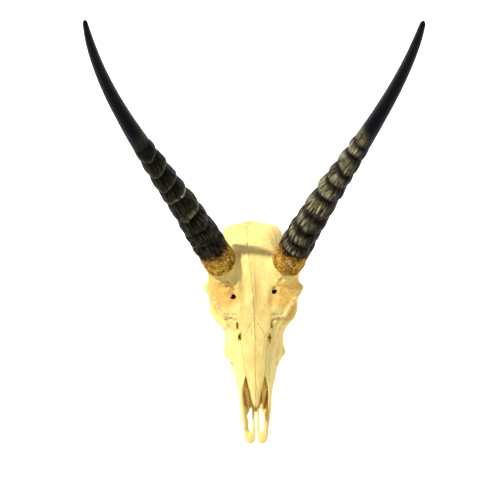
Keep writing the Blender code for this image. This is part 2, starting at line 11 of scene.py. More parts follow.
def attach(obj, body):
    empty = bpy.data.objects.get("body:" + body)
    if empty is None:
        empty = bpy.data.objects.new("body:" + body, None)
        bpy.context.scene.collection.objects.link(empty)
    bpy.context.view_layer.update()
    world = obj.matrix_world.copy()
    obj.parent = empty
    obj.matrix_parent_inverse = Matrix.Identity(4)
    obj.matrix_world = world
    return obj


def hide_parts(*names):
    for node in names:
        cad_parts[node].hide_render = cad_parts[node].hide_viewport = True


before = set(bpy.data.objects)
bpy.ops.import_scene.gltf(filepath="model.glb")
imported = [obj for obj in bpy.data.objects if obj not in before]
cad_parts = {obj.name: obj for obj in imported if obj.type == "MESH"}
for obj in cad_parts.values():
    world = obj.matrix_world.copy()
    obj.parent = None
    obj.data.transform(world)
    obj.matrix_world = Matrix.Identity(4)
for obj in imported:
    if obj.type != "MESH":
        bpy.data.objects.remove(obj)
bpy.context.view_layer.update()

# A common reedbuck's skull with its horns, dressed to match the photograph: aged bone, ringed horn and teeth.
# Shapes are laid out in skull coordinates, in millimetres: x to the animal's left, y back from the tip of the
# snout, z up from the table. Each finished mesh is then moved onto the frame's origin.

MM = 0.001
TO_ORIGIN = np.array((2.67, -171.15, 0.0))

# Driving dimensions, in millimetres unless the name says otherwise.
ORBIT_CENTRE = (47, 149, 62)
ORBIT_RADII = (25, 18.5, 18.5)
HORN_DEPTH_SHARE = 1.14
COLLAR_SWELL = 0.8
PEDICLE_RADIUS = 16.0
CORE_RADIUS = 13.0
CORE_LENGTH = 66.0
FIT_GAP = 0.4
RING_RISE_SHARE = 0.3
CROWN_HEIGHT = 8.5
ROOT_DEPTH = 4.5
SNOUT_LEAN = 0.02
SNOUT_LEAN_FROM = 122.0

BODY_VOXEL = 1.6
BODY_SMOOTHING = 16
FINE_VOXEL = 1.0
FINE_SMOOTHING = 7
SKULL_TRIANGLES = 190000
HORN_SIDES = 150
HORN_STEP_RINGED = 0.62
HORN_STEP_SMOOTH = 2.0
TOOTH_SIDES = 60

# Each horn's centre line runs from the first point to the last and is drawn towards the two between them.
# The two horns grew a little differently.
HORN_CURVES = {
    "horn_left": ((37.5, 192, 101), (81.8, 259, 182), (149.6, 302, 274), (163, 339, 384)),
    "horn_right": ((-39, 192, 101), (-90.2, 257, 182), (-161.6, 299, 274), (-168.3, 339.5, 385)),
}
# How far up the horn the groove below each ring lies, and the last one above them all.
RING_GROOVES = {
    "horn_left": (24, 38, 55, 75.5, 102.5, 123, 141, 163.5, 180),
    "horn_right": (25, 40, 57.5, 78, 104, 123, 142.5, 164, 181),
}
# How far each ring stands out at the front, from the lowest to the highest.
RING_HEIGHTS = {
    "horn_left": (3.2, 4.0, 4.8, 5.4, 5.6, 5.2, 4.6, 3.2),
    "horn_right": (3.4, 4.0, 4.4, 5.4, 5.8, 5.2, 4.6, 3.2),
}
# The rings are highest towards the front and the other horn: that way's angle from the front, in radians, and
# the share of their height that they keep all round.
RING_CREST_ANGLE = 1.1
RING_ALL_ROUND = 0.62
# The height on a ring's profile, from 0 to 1, that lies level with the horn's plain taper.
RING_LEVEL = 0.66
# A second, lower lip under each crest: where it lies on the ring, how wide it is and how high.
SECOND_LIP = (0.09, 0.035, 0.16)
# How square each horn's rings are in profile: the lower, the squarer.
RING_ROUNDNESS = {"horn_left": 0.85, "horn_right": 0.68}
# How rough the horn is low down, in millimetres.
LOW_ROUGHNESS = {"horn_left": 0.6, "horn_right": 1.9}
# Where a ring's lower edge comes down to a point: how far up, at what angle from the front, and how far down.
RING_POINTS = {
    "horn_left": ((75.5, 0.15, 2.0), (141, -0.1, 1.5)),
    "horn_right": ((78, 0.05, 4.0), (123, -0.15, 3.5), (142.5, -0.2, 2.0)),
}
# How much each ring is rubbed pale and painted with highlights, from the lowest to the highest.
RING_WEAR_AND_HIGHLIGHT = {
    "horn_left": (0.7, 0.75, 0.8, 0.9, 1.0, 1.0, 1.0, 0.8),
    "horn_right": (0.3, 0.3, 0.25, 0.85, 1.0, 0.5, 0.55, 0.4),
}
# Where on a ring the rubbing and painted highlights start, are full, are still full and end, from 0 at its
# foot to 1 at its top.
WEAR_AND_HIGHLIGHT_REACH = {"horn_left": (0.12, 0.36, 0.62, 0.95), "horn_right": (0.06, 0.14, 0.22, 0.46)}
# Extra knobs and dents on the rings: how far up, at what angle from the front, how wide and how high.
HORN_KNOBS = {
    "horn_left": ((80.0, -1.15, 5.5, 2.4), (84.0, -0.72, 3.2, -1.5), (118.0, -0.5, 6.0, 0.7)),
    "horn_right": (
        (50.0, 0.7, 6.0, 1.4),
        (33.0, -0.4, 5.0, 1.2),
        (70.0, 0.9, 5.0, 1.2),
        (46.0, -0.5, 5.0, -1.2),
    ),
}
# The sheath's radius from side to side, by distance from its base.
HORN_TAPER = ((0, 18.0), (30, 17.2), (60, 15.9), (100, 14.0), (140, 11.9), (180, 9.9), (220, 8.1), (260, 6.7))
HORN_TAPER += ((300, 5.3), (320, 4.5), (335, 3.5), (350, 2.3))
TIP_ROUNDING = 5.0
# How far from the tip the last cross-sections lie.
TIP_STEPS = (5.0, 4.2, 3.4, 2.6, 1.8, 1.1, 0.5, 0.15)
# The way that a horn's front faces.
HORN_FRONT = (0.0, -1.0, 0.35)
# The way each sheath's lower edge faces: more upright than the horn, so that the edge follows the brow.
SEAT_NORMAL = (0.27, 0.35, 0.89)
# How far the rings lean from square across the horn, towards the front and towards the middle.
RING_LEAN_FRONT = 0.12
RING_LEAN_MIDDLE = 0.2
# From where up the horn that lean fades, over what length, and how far up the seat's own slope reaches.
RING_LEAN_FROM = 120
RING_LEAN_FADE = 80
SEAT_REACH = 12

# Half outlines across the skull, each from the middle of the roof, down the side, to the middle of the floor.
FACE = {
    68: ((0, 53.2), (9, 52), (15.5, 42), (20.8, 26), (19.2, 14), (0, 14)),
    80: ((0, 58), (12, 56), (18.5, 44), (23.6, 26), (22, 13), (0, 14)),
    95: ((0, 63), (14, 60.5), (22, 47), (28, 28), (25.2, 11), (0, 15)),
    108: ((0, 67.5), (16, 65), (25, 50), (32.5, 29), (32.5, 10), (0, 16)),
    120: ((0, 72), (19, 70), (28.5, 54), (32.4, 33), (32.4, 10), (0, 16)),
    132: ((0, 78), (22, 76), (30.5, 60), (33, 36), (32, 10), (0, 16)),
    145: ((0, 85), (25, 83), (28, 66), (30, 42), (31, 10), (0, 16)),
    160: ((0, 92), (28, 90), (26, 70), (27, 44), (29, 11), (0, 17)),
    172: ((0, 97), (30, 95), (26, 74), (22, 50), (17, 27), (0, 27)),
}
BRAINCASE = {
    162: ((0, 93), (22, 91), (29, 76), (25, 54), (14, 38), (0, 36)),
    185: ((0, 102), (24, 99), (31, 78), (28, 54), (16, 36), (0, 33)),
    205: ((0, 99), (23, 95), (33, 75), (32, 52), (18, 33), (0, 30)),
    225: ((0, 87), (22, 84), (34.5, 68), (33, 47), (18, 30), (0, 28)),
    240: ((0, 76.5), (24, 75.6), (35.5, 64), (31, 43), (18, 28), (0, 27)),
    250: ((0, 67.5), (24, 67.4), (33, 57), (29.5, 40), (18, 27), (0, 27)),
    256: ((0, 60), (17, 59.5), (25, 50), (23, 38), (14, 28), (0, 28)),
}
BROW = {
    128: ((0, 75), (17, 74), (27, 70), (30, 65), (25, 60), (0, 57)),
    140: ((0, 82), (20, 81), (34, 77), (37, 72), (31, 67), (0, 61)),
    153: ((0, 89), (25, 88), (42, 84), (47, 79), (38, 73), (0, 65)),
    163: ((0, 93.5), (29, 94), (48, 88), (55, 82), (44, 76), (0, 69)),
    170: ((0, 96), (30, 97), (49, 91), (57.5, 83), (46, 76), (0, 71)),
    178: ((0, 99), (30, 100), (41, 96), (44.5, 89), (39, 80), (0, 74)),
    188: ((0, 102), (28, 101), (37, 98), (40, 90), (34, 80), (0, 76)),
    204: ((0, 99), (24, 96), (31, 91), (34, 84), (28, 76), (0, 72)),
}
NASAL_CAVITY = {
    44: ((0, 40), (6, 39), (10.5, 33), (11.5, 25), (9, 18.5), (0, 18)),
    60: ((0, 47), (7, 45.5), (12.5, 38), (15.5, 26), (12.5, 18.5), (0, 18)),
    80: ((0, 54), (9, 52), (15.5, 42), (19, 28), (14, 19), (0, 18.5)),
    105: ((0, 62.5), (14, 60), (19.5, 48), (22, 32), (14, 21), (0, 20)),
    124: ((0, 68), (20, 66), (24, 54), (22, 38), (14, 24), (0, 22)),
    133: ((0, 64), (13, 62), (18, 52), (17, 40), (10, 30), (0, 28)),
}
PALATE_VAULT = {
    88: ((0, 11), (9, 11), (14, 6), (15, 0), (15, -6), (0, -6)),
    108: ((0, 15), (11, 14.5), (17, 9), (18.5, 0), (18.5, -6), (0, -6)),
    145: ((0, 15.5), (13, 15), (18.5, 9), (20, 0), (20, -6), (0, -6)),
    180: ((0, 17), (13, 16), (19, 9), (20, 0), (20, -6), (0, -6)),
}
NASAL_BONES = {
    36.5: ((0, 46.6), (0.9, 46.4), (1.5, 45.6), (1.4, 44.4), (0.8, 43.8), (0, 43.8)),
    40: ((0, 47.8), (2, 47.2), (3.2, 45.8), (3.1, 44.2), (1.8, 43.8), (0, 44.0)),
    46: ((0, 49.3), (3.1, 48.3), (4.9, 46.4), (4.7, 44.5), (2.6, 44.7), (0, 45.4)),
    54: ((0, 51.5), (4.2, 50.2), (6.5, 47.8), (6.2, 45.4), (3.4, 46.1), (0, 47.3)),
    61: ((0, 53.5), (5.1, 52.0), (7.7, 49.5), (7.3, 46.8), (4.4, 47.7), (0, 49.4)),
    68: ((0, 55.3), (6.2, 53.8), (9.2, 50.9), (8.8, 48.1), (5, 49.0), (0, 51.1)),
    78: ((0, 58), (8.4, 56.6), (12.6, 53), (11.4, 49.5), (6, 50.5), (0, 53.4)),
}
# The thin roof that joins the nasal bones to the sides of the nose, behind the two long openings.
NOSE_ROOF = {
    58: ((0, 50.0), (5.5, 48.6), (10.5, 46.6), (15.2, 43.2), (14, 41.6), (0, 47.0)),
    66: ((0, 54.2), (6.5, 52.9), (12, 50.0), (16.6, 45.9), (15, 44), (0, 50)),
    79: ((0, 58.2), (8.4, 56.8), (14.0, 53.0), (19.0, 45), (15, 43), (0, 53.4)),
}
# Where each nose opening ends at the back, seen from above: a point between the nasal bone and the side.
NOSE_SLOT = ((6.9, 53), (8.2, 61), (9.7, 67.5), (11.0, 72), (12.5, 67.5), (14.3, 61), (14.3, 53))
NOSE_FLOOR = {
    39: ((0, 16.5), (8, 17.2), (14.6, 18), (16, 15.4), (14.4, 12.8), (0, 12.4)),
    50: ((0, 17), (8, 17.6), (15, 18.6), (17, 15.6), (15.4, 12.8), (0, 12.6)),
    72: ((0, 18), (9, 18.6), (17, 19.4), (19, 16), (17.4, 13), (0, 13.4)),
}
# The upright plate at each side of the nose: y, then its lower outer and upper edge, x and z.
NOSE_PLATES = (
    (13, (11.8, 11.3), (11.6, 14.4)),
    (20, (13.0, 12.5), (12.8, 19)),
    (33, (15.7, 14), (13.8, 27.5)),
    (46, (17.0, 15), (15.4, 37)),
    (58, (17.8, 15.5), (15.6, 46)),
    (66, (19.2, 16), (14.2, 48.6)),
    (80, (20.8, 16), (11.0, 52.5)),
)
NOSE_PLATE_HALF = 1.7
# Where the hole over each eye lies, y: the animal's left one is further back.
EYE_HOLE_RIGHT_Y = 154.0
EYE_HOLE_LEFT_Y = 159.0

# Shallow forms pressed into the bone or raised on it: centre, radii, and how far the surface moves outwards.
RELIEF = (
    ((22.5, 150, 92), (8, 24, 14), -2.2),
    ((22, 172, 100), (7, 14, 12), -1.2),
    ((9, 158, 95), (7, 24, 14), -1.0),
    ((0, 160, 96), (3.5, 50, 16), 1.0),
    ((0, 110, 70), (2.2, 70, 16), 0.5),
    ((31, 121, 60), (9, 10, 12), -2.0),
    ((27, 102, 46), (8, 18, 10), -1.4),
    ((30, 210, 78), (9, 22, 14), -1.6),
    ((0, 226, 90), (30, 5, 16), 0.7),
    ((30, 158, 95), (9, 8, 8), 0.8),
)

# Smaller forms of the same kind: the step before the eye, hollows of the cheek and forehead, muscle marks.
SMALL_RELIEF = (
    ((33, 127, 60), (8, 7, 10), -2.6),
    ((35, 137, 73), (7, 6, 6), 1.1),
    ((14, 186, 102), (9, 20, 12), -0.9),
    ((20, 146, 86), (5, 10, 8), -0.9),
    ((12, 136, 80), (6, 14, 10), -0.5),
    ((24, 95, 40), (5, 16, 8), -0.8),
    ((31, 109, 24), (5, 6, 6), 1.0),
    ((28, 220, 84), (9, 18, 12), -2.2),
    ((28, 237, 68), (9, 14, 12), -1.8),
    ((0, 246, 70), (5, 8, 8), 0.9),
)
# The brow's outer edge, from the horn round the corner to the front of the eye.
BROW_EDGE = ((46, 180, 92), (54, 173, 87), (56.5, 168, 84), (53, 162, 83.8), (48.8, 157.5, 84))
BROW_EDGE += ((45.5, 151.5, 82), (42, 146.5, 80), (38, 142, 78), (33, 138, 77), (29.5, 135, 75))
# The line where the temple's muscle ended, from behind the horn to the back of the skull.
TEMPLE_LINE = ((31, 206, 95), (28.5, 220, 83), (27, 228, 79), (21.5, 240, 76), (16.5, 248, 70))
# The channels that run from the hole over each eye, back to the horn and forward down the forehead, and the
# ragged step across the cheek before the eye: how deep, how wide, and the line that each follows.
CHANNELS = (
    (1.8, 2.4, ((23, 161, 92), (25.5, 164, 96), (28.6, 167.4, 97.7), (32, 171.5, 101))),
    (1.2, 2.0, ((24, 163, 94), (29, 164, 95), (33, 167, 95))),
    (1.5, 2.4, ((22.5, 151, 90), (21.5, 146, 87), (19.5, 140, 84))),
    (2.6, 2.8, ((21.5, 129, 75), (26, 131.5, 75), (31, 131, 73), (38.5, 136.5, 70))),
    (1.6, 2.0, ((23, 136, 78.5), (27, 134.5, 77), (33, 137, 77))),
    (1.2, 1.8, ((20.6, 131, 75), (20.2, 136, 78))),
)
# The middle seam wanders to one side towards the back: y, then x.
MIDDLE_LINE = ((103, 0.2), (130, 0.2), (155, -1.1), (180, -3.4), (206, -6.0), (250, -6.0))

# Cheek teeth of one side, front to back: name, length, width, and how many lobes it has.
CHEEK_TEETH = (
    ("premolar_2", 8.5, 7.0, 1),
    ("premolar_3", 9.5, 8.5, 1),
    ("premolar_4", 9.5, 10.0, 1),
    ("molar_1", 12.5, 11.5, 2),
    ("molar_2", 14.0, 12.0, 2),
    ("molar_3", 14.5, 11.0, 2),
)
TOOTH_ROW_START = 96.0
TOOTH_ROW_FRONT_X = 21.5
TOOTH_ROW_BACK_X = 26.0

# The studio, in metres and watts: a light table, a small strong lamp at the upper left and a large weak one
# opposite.
FLOOR_HALF = 3.0
FLOOR_GLOW = 0.8
LAMP_AIM = (0, 0.03, 0.12)
KEY_WAY = (-0.52, 0.375, 0.767)
KEY_AWAY = 2.4
KEY_SIZE = 0.05
KEY_POWER = 74
FILL_WAY = (0.5, -0.6, 0.9)
FILL_AWAY = 2.2
FILL_SIZE = 1.6
FILL_POWER = 11
WORLD_STRENGTH = 0.275
CAMERA_LENS = 98.7
CAMERA_SENSOR = 36
CAMERA_PLACE = (-0.01383, -0.49295, 1.5082)
CAMERA_TILT_DEG = 21


def spline(points, steps, closed=False):
    """A smooth curve through the points, with that many steps between neighbours."""
    p = np.asarray(points, float)
    count = len(p)
    spans = count if closed else count - 1
    made = []
    for i in range(spans):
        if closed:
            a, b, c, d = p[i - 1], p[i], p[(i + 1) % count], p[(i + 2) % count]
        else:
            a, b, c, d = p[max(i - 1, 0)], p[i], p[i + 1], p[min(i + 2, count - 1)]
        for k in range(steps):
            t = k / steps
            made.append(
                0.5
                * (2 * b + (c - a) * t + (2 * a - 5 * b + 4 * c - d) * t * t + (3 * b - a - 3 * c + d) * t**3)
            )
    if not closed:
        made.append(p[-1])
    return np.array(made)


def skin(rings):
    """Points and faces of a closed body over rings of points, with flat ends."""
    count = len(rings[0])
    points = np.concatenate(rings)
    faces = []
    for i in range(len(rings) - 1):
        for j in range(count):
            a, b = i * count + j, i * count + (j + 1) % count
            faces.append((a, b, b + count, a + count))
    faces.append(tuple(range(count))[::-1])
    faces.append(tuple(range(len(points) - count, len(points))))
    return points, faces


def sections(outlines, steps_along=5, steps_round=5):
    """A closed body through half outlines that are mirrored across the skull's middle plane."""
    stations = sorted(outlines)
    halves = np.array([outlines[y] for y in stations], float).reshape(len(stations), -1)
    along = spline(np.column_stack([np.array(stations, float), halves]), steps_along)
    rings = []
    for row in along:
        half = row[1:].reshape(-1, 2)
        mirrored_half = half[-2:0:-1] * (-1, 1)
        outline = spline(np.concatenate([half, mirrored_half]), steps_round, closed=True)
        rings.append(np.column_stack([outline[:, 0], np.full(len(outline), row[0]), outline[:, 1]]))
    return skin(rings)


def ball(centre, radii, turn_x=0.0, rings=16, sides=28):
    """An ellipsoid, turned by turn_x degrees about its own x axis."""
    a = math.radians(turn_x)
    made = []
    for i in range(1, rings):
        polar = math.pi * i / rings
        round_ = np.linspace(0, 2 * math.pi, sides, endpoint=False)
        x = radii[0] * np.sin(polar) * np.cos(round_)
        y = radii[1] * np.sin(polar) * np.sin(round_)
        z = np.full(sides, radii[2] * math.cos(polar))
        turned = [x, y * math.cos(a) - z * math.sin(a), y * math.sin(a) + z * math.cos(a)]
        made.append(np.column_stack(turned) + centre)
    return skin(made)


def rod(points, radii, flat=1.0, steps=6, sides=16, closed=False):
    """A round or flattened bar through the points; flat is its width over its height."""
    path = spline(points, steps, closed)
    size = spline(np.array(radii, float)[:, None], steps, closed)[:, 0]
    rings = []
    for i, p in enumerate(path):
        after = path[(i + 1) % len(path)] if closed else path[min(i + 1, len(path) - 1)]
        along = after - path[i - 1 if closed or i else 0]
        along = along / np.linalg.norm(along)
        up = np.array((0.0, 0.0, 1.0)) if abs(along[2]) < 0.9 else np.array((0.0, 1.0, 0.0))
        side = np.cross(along, up)
        side /= np.linalg.norm(side)
        up = np.cross(side, along)
        angle = np.linspace(0, 2 * math.pi, sides, endpoint=False)[:, None]
        rings.append(p + size[i] * (flat * side * np.cos(angle) + up * np.sin(angle)))
    points, faces = skin(rings)
    if closed:
        last = (len(rings) - 1) * sides
        faces = faces[:-2]
        faces += [(last + j, last + (j + 1) % sides, (j + 1) % sides, j) for j in range(sides)]
    return points, faces


def slab(stations, half):
    """An upright rounded plate: at each y, a lower and an upper edge, x and z, and its half thickness."""
    ys = np.array([[s[0], *s[1], *s[2]] for s in stations], float)
    rings = []
    for y, x0, z0, x1, z1 in spline(ys, 5):
        low, high = np.array((x0, z0)), np.array((x1, z1))
        way = (high - low) / np.linalg.norm(high - low)
        out = np.array((way[1], -way[0])) * half
        bow = (low + high) / 2 + out * 0.35
        outline = [low - way, low + out, bow + out, high + out, high + way, high - out, bow - out, low - out]
        rings.append(np.array([(x, y, z) for x, z in outline]))
    return skin(rings)


def mirrored(body):
    points, faces = body
    return points * (-1, 1, 1), [f[::-1] for f in faces]


def both_sides(bodies):
    return [*bodies, *[mirrored(b) for b in bodies]]


def solid(name, bodies):
    """One object holding the bodies, in metres, with every face turned outwards."""
    mesh = bpy.data.meshes.new(name)
    points, faces = [], []
    for body_points, body_faces in bodies:
        start = len(points)
        points.extend((np.asarray(body_points, float) * MM).tolist())
        faces.extend(tuple(start + i for i in face) for face in body_faces)
    mesh.from_pydata(points, [], faces)
    work = bmesh.new()
    work.from_mesh(mesh)
    bmesh.ops.recalc_face_normals(work, faces=work.faces)
    work.to_mesh(mesh)
    work.free()
    obj = bpy.data.objects.new(name, mesh)
    bpy.context.scene.collection.objects.link(obj)
    return obj


def settle(obj):
    """Makes the object's modifiers part of its mesh."""
    bpy.context.view_layer.update()
    made = bpy.data.meshes.new_from_object(obj.evaluated_get(bpy.context.evaluated_depsgraph_get()))
    obj.modifiers.clear()
    obj.data = made
    return obj


def fuse(obj, voxel, smoothing):
    """Joins overlapping bodies into one skin and softens the creases between them."""
    remesh = obj.modifiers.new("fuse", "REMESH")
    remesh.mode = "VOXEL"
    remesh.voxel_size = voxel * MM
    if smoothing:
        smooth = obj.modifiers.new("soften", "SMOOTH")
        smooth.factor = 0.5
        smooth.iterations = smoothing
    return settle(obj)


def carve(obj, cutter, operation="DIFFERENCE"):
    change = obj.modifiers.new("carve", "BOOLEAN")
    change.operation = operation
    change.solver = "MANIFOLD"
    change.object = cutter
    settle(obj)
    bpy.data.objects.remove(cutter)
    return obj


def add_bodies(obj, bodies):
    """Puts more closed bodies into the object's mesh, overlapping what is there."""
    other = solid("more", bodies)
    work = bmesh.new()
    work.from_mesh(obj.data)
    work.from_mesh(other.data)
    work.to_mesh(obj.data)
    work.free()
    bpy.data.objects.remove(other)
    return obj


def drop_scraps(obj):
    """Deletes the loose scraps that the cuts leave beside the one large body."""
    body = bmesh.new()
    body.from_mesh(obj.data)
    groups, unseen = [], set(body.verts)
    while unseen:
        reached = [unseen.pop()]
        for vert in reached:
            for edge in vert.link_edges:
                other = edge.other_vert(vert)
                if other in unseen:
                    unseen.remove(other)
                    reached.append(other)
        groups.append(reached)
    largest = max(groups, key=len)
    scraps = [vert for group in groups if group is not largest for vert in group]
    bmesh.ops.delete(body, geom=scraps, context="VERTS")
    body.to_mesh(obj.data)
    body.free()


def main_masses():
    """The bones that make the skull's body: face, brow, braincase, cheek arches and tooth beds."""
    brow_to_horn = [(33, 178, 84), (37, 188, 95), (37.8, 192.5, 102), (41, 198, 110)]
    arch = [(28, 121, 34), (32, 132, 40), (39.6, 140.5, 41.5), (46.2, 148, 42.5), (48.8, 158, 44.5)]
    arch += [(47.6, 174, 49.5), (45, 190, 53), (41, 205, 54), (34.5, 220, 53), (27, 231, 50)]
    tooth_bed = [(20.5, 94, 19), (26, 108, 20), (27.5, 130, 20), (27.5, 150, 20), (26, 165, 22)]
    side = [
        rod(brow_to_horn, (19, 17, PEDICLE_RADIUS, PEDICLE_RADIUS)),
        rod(arch, (8, 6.6, 5.6, 5.2, 5, 4.6, 4.2, 4.4, 6, 8), flat=0.72),
        rod(tooth_bed, (6, 9, 10, 10, 8), flat=0.72),
        ball((30.2, 108.5, 23), (6.8, 7, 7)),
        ball((34, 156, 38.5), (14, 19, 6.5)),
        ball((23, 236, 37), (12, 14, 12)),
    ]
    return [sections(FACE), sections(BRAINCASE), sections(BROW), *both_sides(side)]


def edges_and_processes():
    """The thinner bones: orbit rims, nose, cheek-to-brow bars, and what stands out behind and below."""
    rim = [(30.5, 131, 64), (35, 138, 73.5), (44.5, 151, 80), (53.6, 165.5, 80.5), (53, 171, 72)]
    rim += [(50, 170.5, 60), (48.5, 164, 49), (46.4, 152, 44.5), (38.5, 141, 43.5), (31.5, 131.5, 50)]
    behind_ear = [(23, 240, 34), (24.5, 245, 22), (22.5, 247, 8), (21.5, 246.5, -3)]
    front_tip = [(12.2, 17, 12.6), (11.7, 11, 12.4), (9.4, 6, 12.2), (5.8, 3.9, 12), (3.2, 8, 12.3)]
    side = [
        rod(rim, (3.1, 2.8, 2.8, 3, 3.2, 3.3, 3.4, 3.2, 3.2, 3.2), closed=True),
        slab(NOSE_PLATES, NOSE_PLATE_HALF),
        ball((7.2, 9.5, 12.2), (6.2, 7.2, 3), turn_x=4),
        rod(front_tip, (2.4, 2.6, 2.7, 2.6, 2.2)),
        rod([(9, 12.5, 12.4), (11.5, 20, 13), (11.9, 29, 14), (11, 38, 16)], (2.1, 2.3, 2.4, 2.6), flat=1.3),
        rod([(11.2, 14, 13), (11.9, 22, 17), (12.4, 31, 22), (13, 42, 29)], (2.0, 2.4, 2.5, 2.2)),
        rod([(2.7, 7, 12.4), (2.65, 24, 13.4), (2.75, 40, 15.4), (3.2, 60, 17)], (1.7, 1.65, 1.8, 2.2)),
        rod(behind_ear, (7.5, 5.4, 4.2, 3.4), flat=0.75),
        ball((10.5, 257, 29), (7.6, 9.5, 9.5), turn_x=-20),
        ball((16, 229, 23), (7.5, 11.5, 10)),
        rod([(13.5, 158, 20), (12.5, 176, 24), (12, 190, 33)], (3.4, 3, 4), flat=0.6),
        rod([(0, 254, 63), (9, 253, 62), (18, 249, 56), (24.5, 244, 47), (27, 240, 38)], (3.2, 3.2, 3, 3, 3)),
    ]
    middle = [
        sections(NASAL_BONES),
        sections(NOSE_ROOF),
        sections(NOSE_FLOOR),
        rod([(0, 44, 17), (0, 80, 19), (0, 128, 26)], (2.2, 2.4, 3), flat=0.6),
        slab([(60, (0, 17), (0, 24)), (90, (0, 18), (0, 40)), (128, (0, 22), (0, 66))], 1.3),
        rod([(0, 176, 36), (0, 210, 30), (0, 244, 27.5), (0, 258, 27)], (9, 9, 8, 7), flat=1.3),
    ]
    return [*middle, *both_sides(side)]


def nose_scrolls():
    """The thin rolled bones inside the nose, seen through its openings."""
    lower = [(8.4, 42, 18), (9.6, 53, 30), (10.8, 66, 41), (11, 92, 46), (10, 124, 50)]
    upper = [(13.4, 62, 42), (15.6, 84, 50), (16.5, 104, 58), (17.4, 118, 63), (18, 130, 66)]
    return both_sides([rod(lower, (1.2, 2.8, 4, 4.4, 4), flat=0.9), rod(upper, (1.4, 2, 2.4, 2.6, 2.6))])


def hollows():
    """What the skull is open for: eyes, nose, palate, brain and the hollows beside the braincase."""
    back_wall = (ORBIT_CENTRE[0] - 6, ORBIT_CENTRE[1] + 12, ORBIT_CENTRE[2] - 1)
    side = [
        ball(ORBIT_CENTRE, ORBIT_RADII),
        ball(back_wall, (17, 17, 15)),
        ball((36.5, 190, 66), (9, 22, 13)),
    ]
    middle = [
        sections(NASAL_CAVITY),
        sections(PALATE_VAULT),
        rod([(0, 270, 37), (0, 254, 39), (0, 240, 44)], (9, 8.6, 9), flat=1.1),
        ball((0, 218, 60), (20, 27, 21)),
        rod([(0, 160, 26), (0, 175, 29), (0, 190, 27)], (8, 8.5, 6)),
    ]
    return [*middle, *both_sides(side)]


def ragged(body, amount, size, seed):
    """The same body with an uneven surface."""
    points, faces = body
    middle = points.mean(0)
    spread = 1 + amount * grain(points, size, seed)[:, None]
    return middle + (points - middle) * spread, faces


def small_openings():
    """The small holes of the face: two slots at the nose root, one over each eye, one before each cheek."""
    side = [
        ball((19.6, 125.5, 73), (1.6, 4.6, 8)),
        ball((17.0, 111.5, 67), (2.6, 5.6, 8)),
        rod([(32, 86, 31), (25.5, 92, 31), (20, 99, 33)], (2.4, 2.4, 2.2)),
    ]
    over_eyes = []
    for sign, y in ((-1, EYE_HOLE_RIGHT_Y), (1, EYE_HOLE_LEFT_Y)):
        path = [(sign * 22.8, y, 100), (sign * 23.2, y + 0.5, 88), (sign * 25, y, 78)]
        over_eyes.append(rod(path, (2.6, 2.4, 2)))
    return [ragged(body, 0.34, 2.4, seed) for seed, body in enumerate([*both_sides(side), *over_eyes])]


def nose_slots():
    """Cutters that sharpen the rear end of each nose opening."""
    low = np.array([(x, y, 35 + 0.3 * (y - 50)) for x, y in NOSE_SLOT])
    body = skin([low, low + (0, 0, 26)])
    return both_sides([body])


def read(mesh, what):
    """The mesh's points ("co") or normals ("normal") as one array."""
    values = np.empty(len(mesh.vertices) * 3, np.float32)
    mesh.vertices.foreach_get(what, values)
    return values.reshape(-1, 3).astype(float)


def write(mesh, points):
    mesh.vertices.foreach_set("co", points.astype(np.float32).ravel())
    mesh.update()


def grain(points, size, seed=0.0):
    """Smooth random heights from -1 to 1 over space, in lumps of about that size."""
    place = points / size + seed * 7.31
    cell = np.floor(place)
    share = place - cell
    share = share * share * (3 - 2 * share)
    total = np.zeros(len(points))
    for corner in itertools.product((0, 1), repeat=3):
        key = np.sin((cell + corner) @ (12.9898, 78.233, 37.719)) * 43758.5453
        value = (key - np.floor(key)) * 2 - 1
        total += value * np.prod(np.where(corner, share, 1 - share), axis=1)
    return total


def near(points, centre, radii):
    """1 at the centre, falling to 0 at the radii, the same on both sides of the skull."""
    reach = np.abs(points * (1, 0, 0)) + points * (0, 1, 1)
    return np.clip(1 - (((reach - centre) / radii) ** 2).sum(1), 0, 1)


def away_from(points, path):
    """Distance from each point to a line through the given points, the same on both sides of the skull."""
    reach = np.abs(points * (1, 0, 0)) + points * (0, 1, 1)
    nearest = np.full(len(points), 1e9)
    for a, b in zip(path[:-1], path[1:]):
        a, b = np.array(a, float), np.array(b, float)
        t = np.clip((reach - a) @ (b - a) / ((b - a) @ (b - a)), 0, 1)
        nearest = np.minimum(nearest, np.linalg.norm(reach - (a + t[:, None] * (b - a)), axis=1))
    return nearest


def neighbours_mean(mesh):
    """A function that gives, for one value a point, the mean over each point's neighbours."""
    count = len(mesh.vertices)
    ends = np.empty(len(mesh.edges) * 2, np.int32)
    mesh.edges.foreach_get("vertices", ends)
    a, b = ends.reshape(-1, 2).T
    number = np.maximum(1, np.bincount(a, minlength=count) + np.bincount(b, minlength=count))
    return lambda values: (np.bincount(a, values[b], count) + np.bincount(b, values[a], count)) / number


def ease_muzzle(obj):
    """Runs the roof of the nose, the cheeks and the forehead together without steps."""
    mesh = obj.data
    points = read(mesh, "co") / MM
    mean = neighbours_mean(mesh)
    x, y, _ = points.T
    up = np.clip(read(mesh, "normal")[:, 2] * 3 - 0.6, 0, 1)
    share = up * np.clip((y - 60) / 12, 0, 1) * np.clip((215 - y) / 30, 0, 1)
    share = share * np.clip((30 - np.abs(x)) / 8, 0, 1)
    share = np.maximum(share, up * np.clip((19 - y) / 5, 0, 1) * 0.6)
    for _ in range(60):
        middle = np.column_stack([mean(points[:, k]) for k in range(3)])
        points += (middle - points) * share[:, None] * 0.6
    write(mesh, points * MM)


def press_relief(obj):
    """Moves each point along its normal by the relief forms that reach it."""
    mesh = obj.data
    points = read(mesh, "co") / MM
    normals = read(mesh, "normal")
    move = np.zeros(len(points))
    for centre, radii, height in RELIEF:
        move += height * near(points, centre, radii) ** 2
    write(mesh, (points + normals * move[:, None]) * MM)


def middle_x(y):
    return np.interp(y, [step[0] for step in MIDDLE_LINE], [step[1] for step in MIDDLE_LINE])


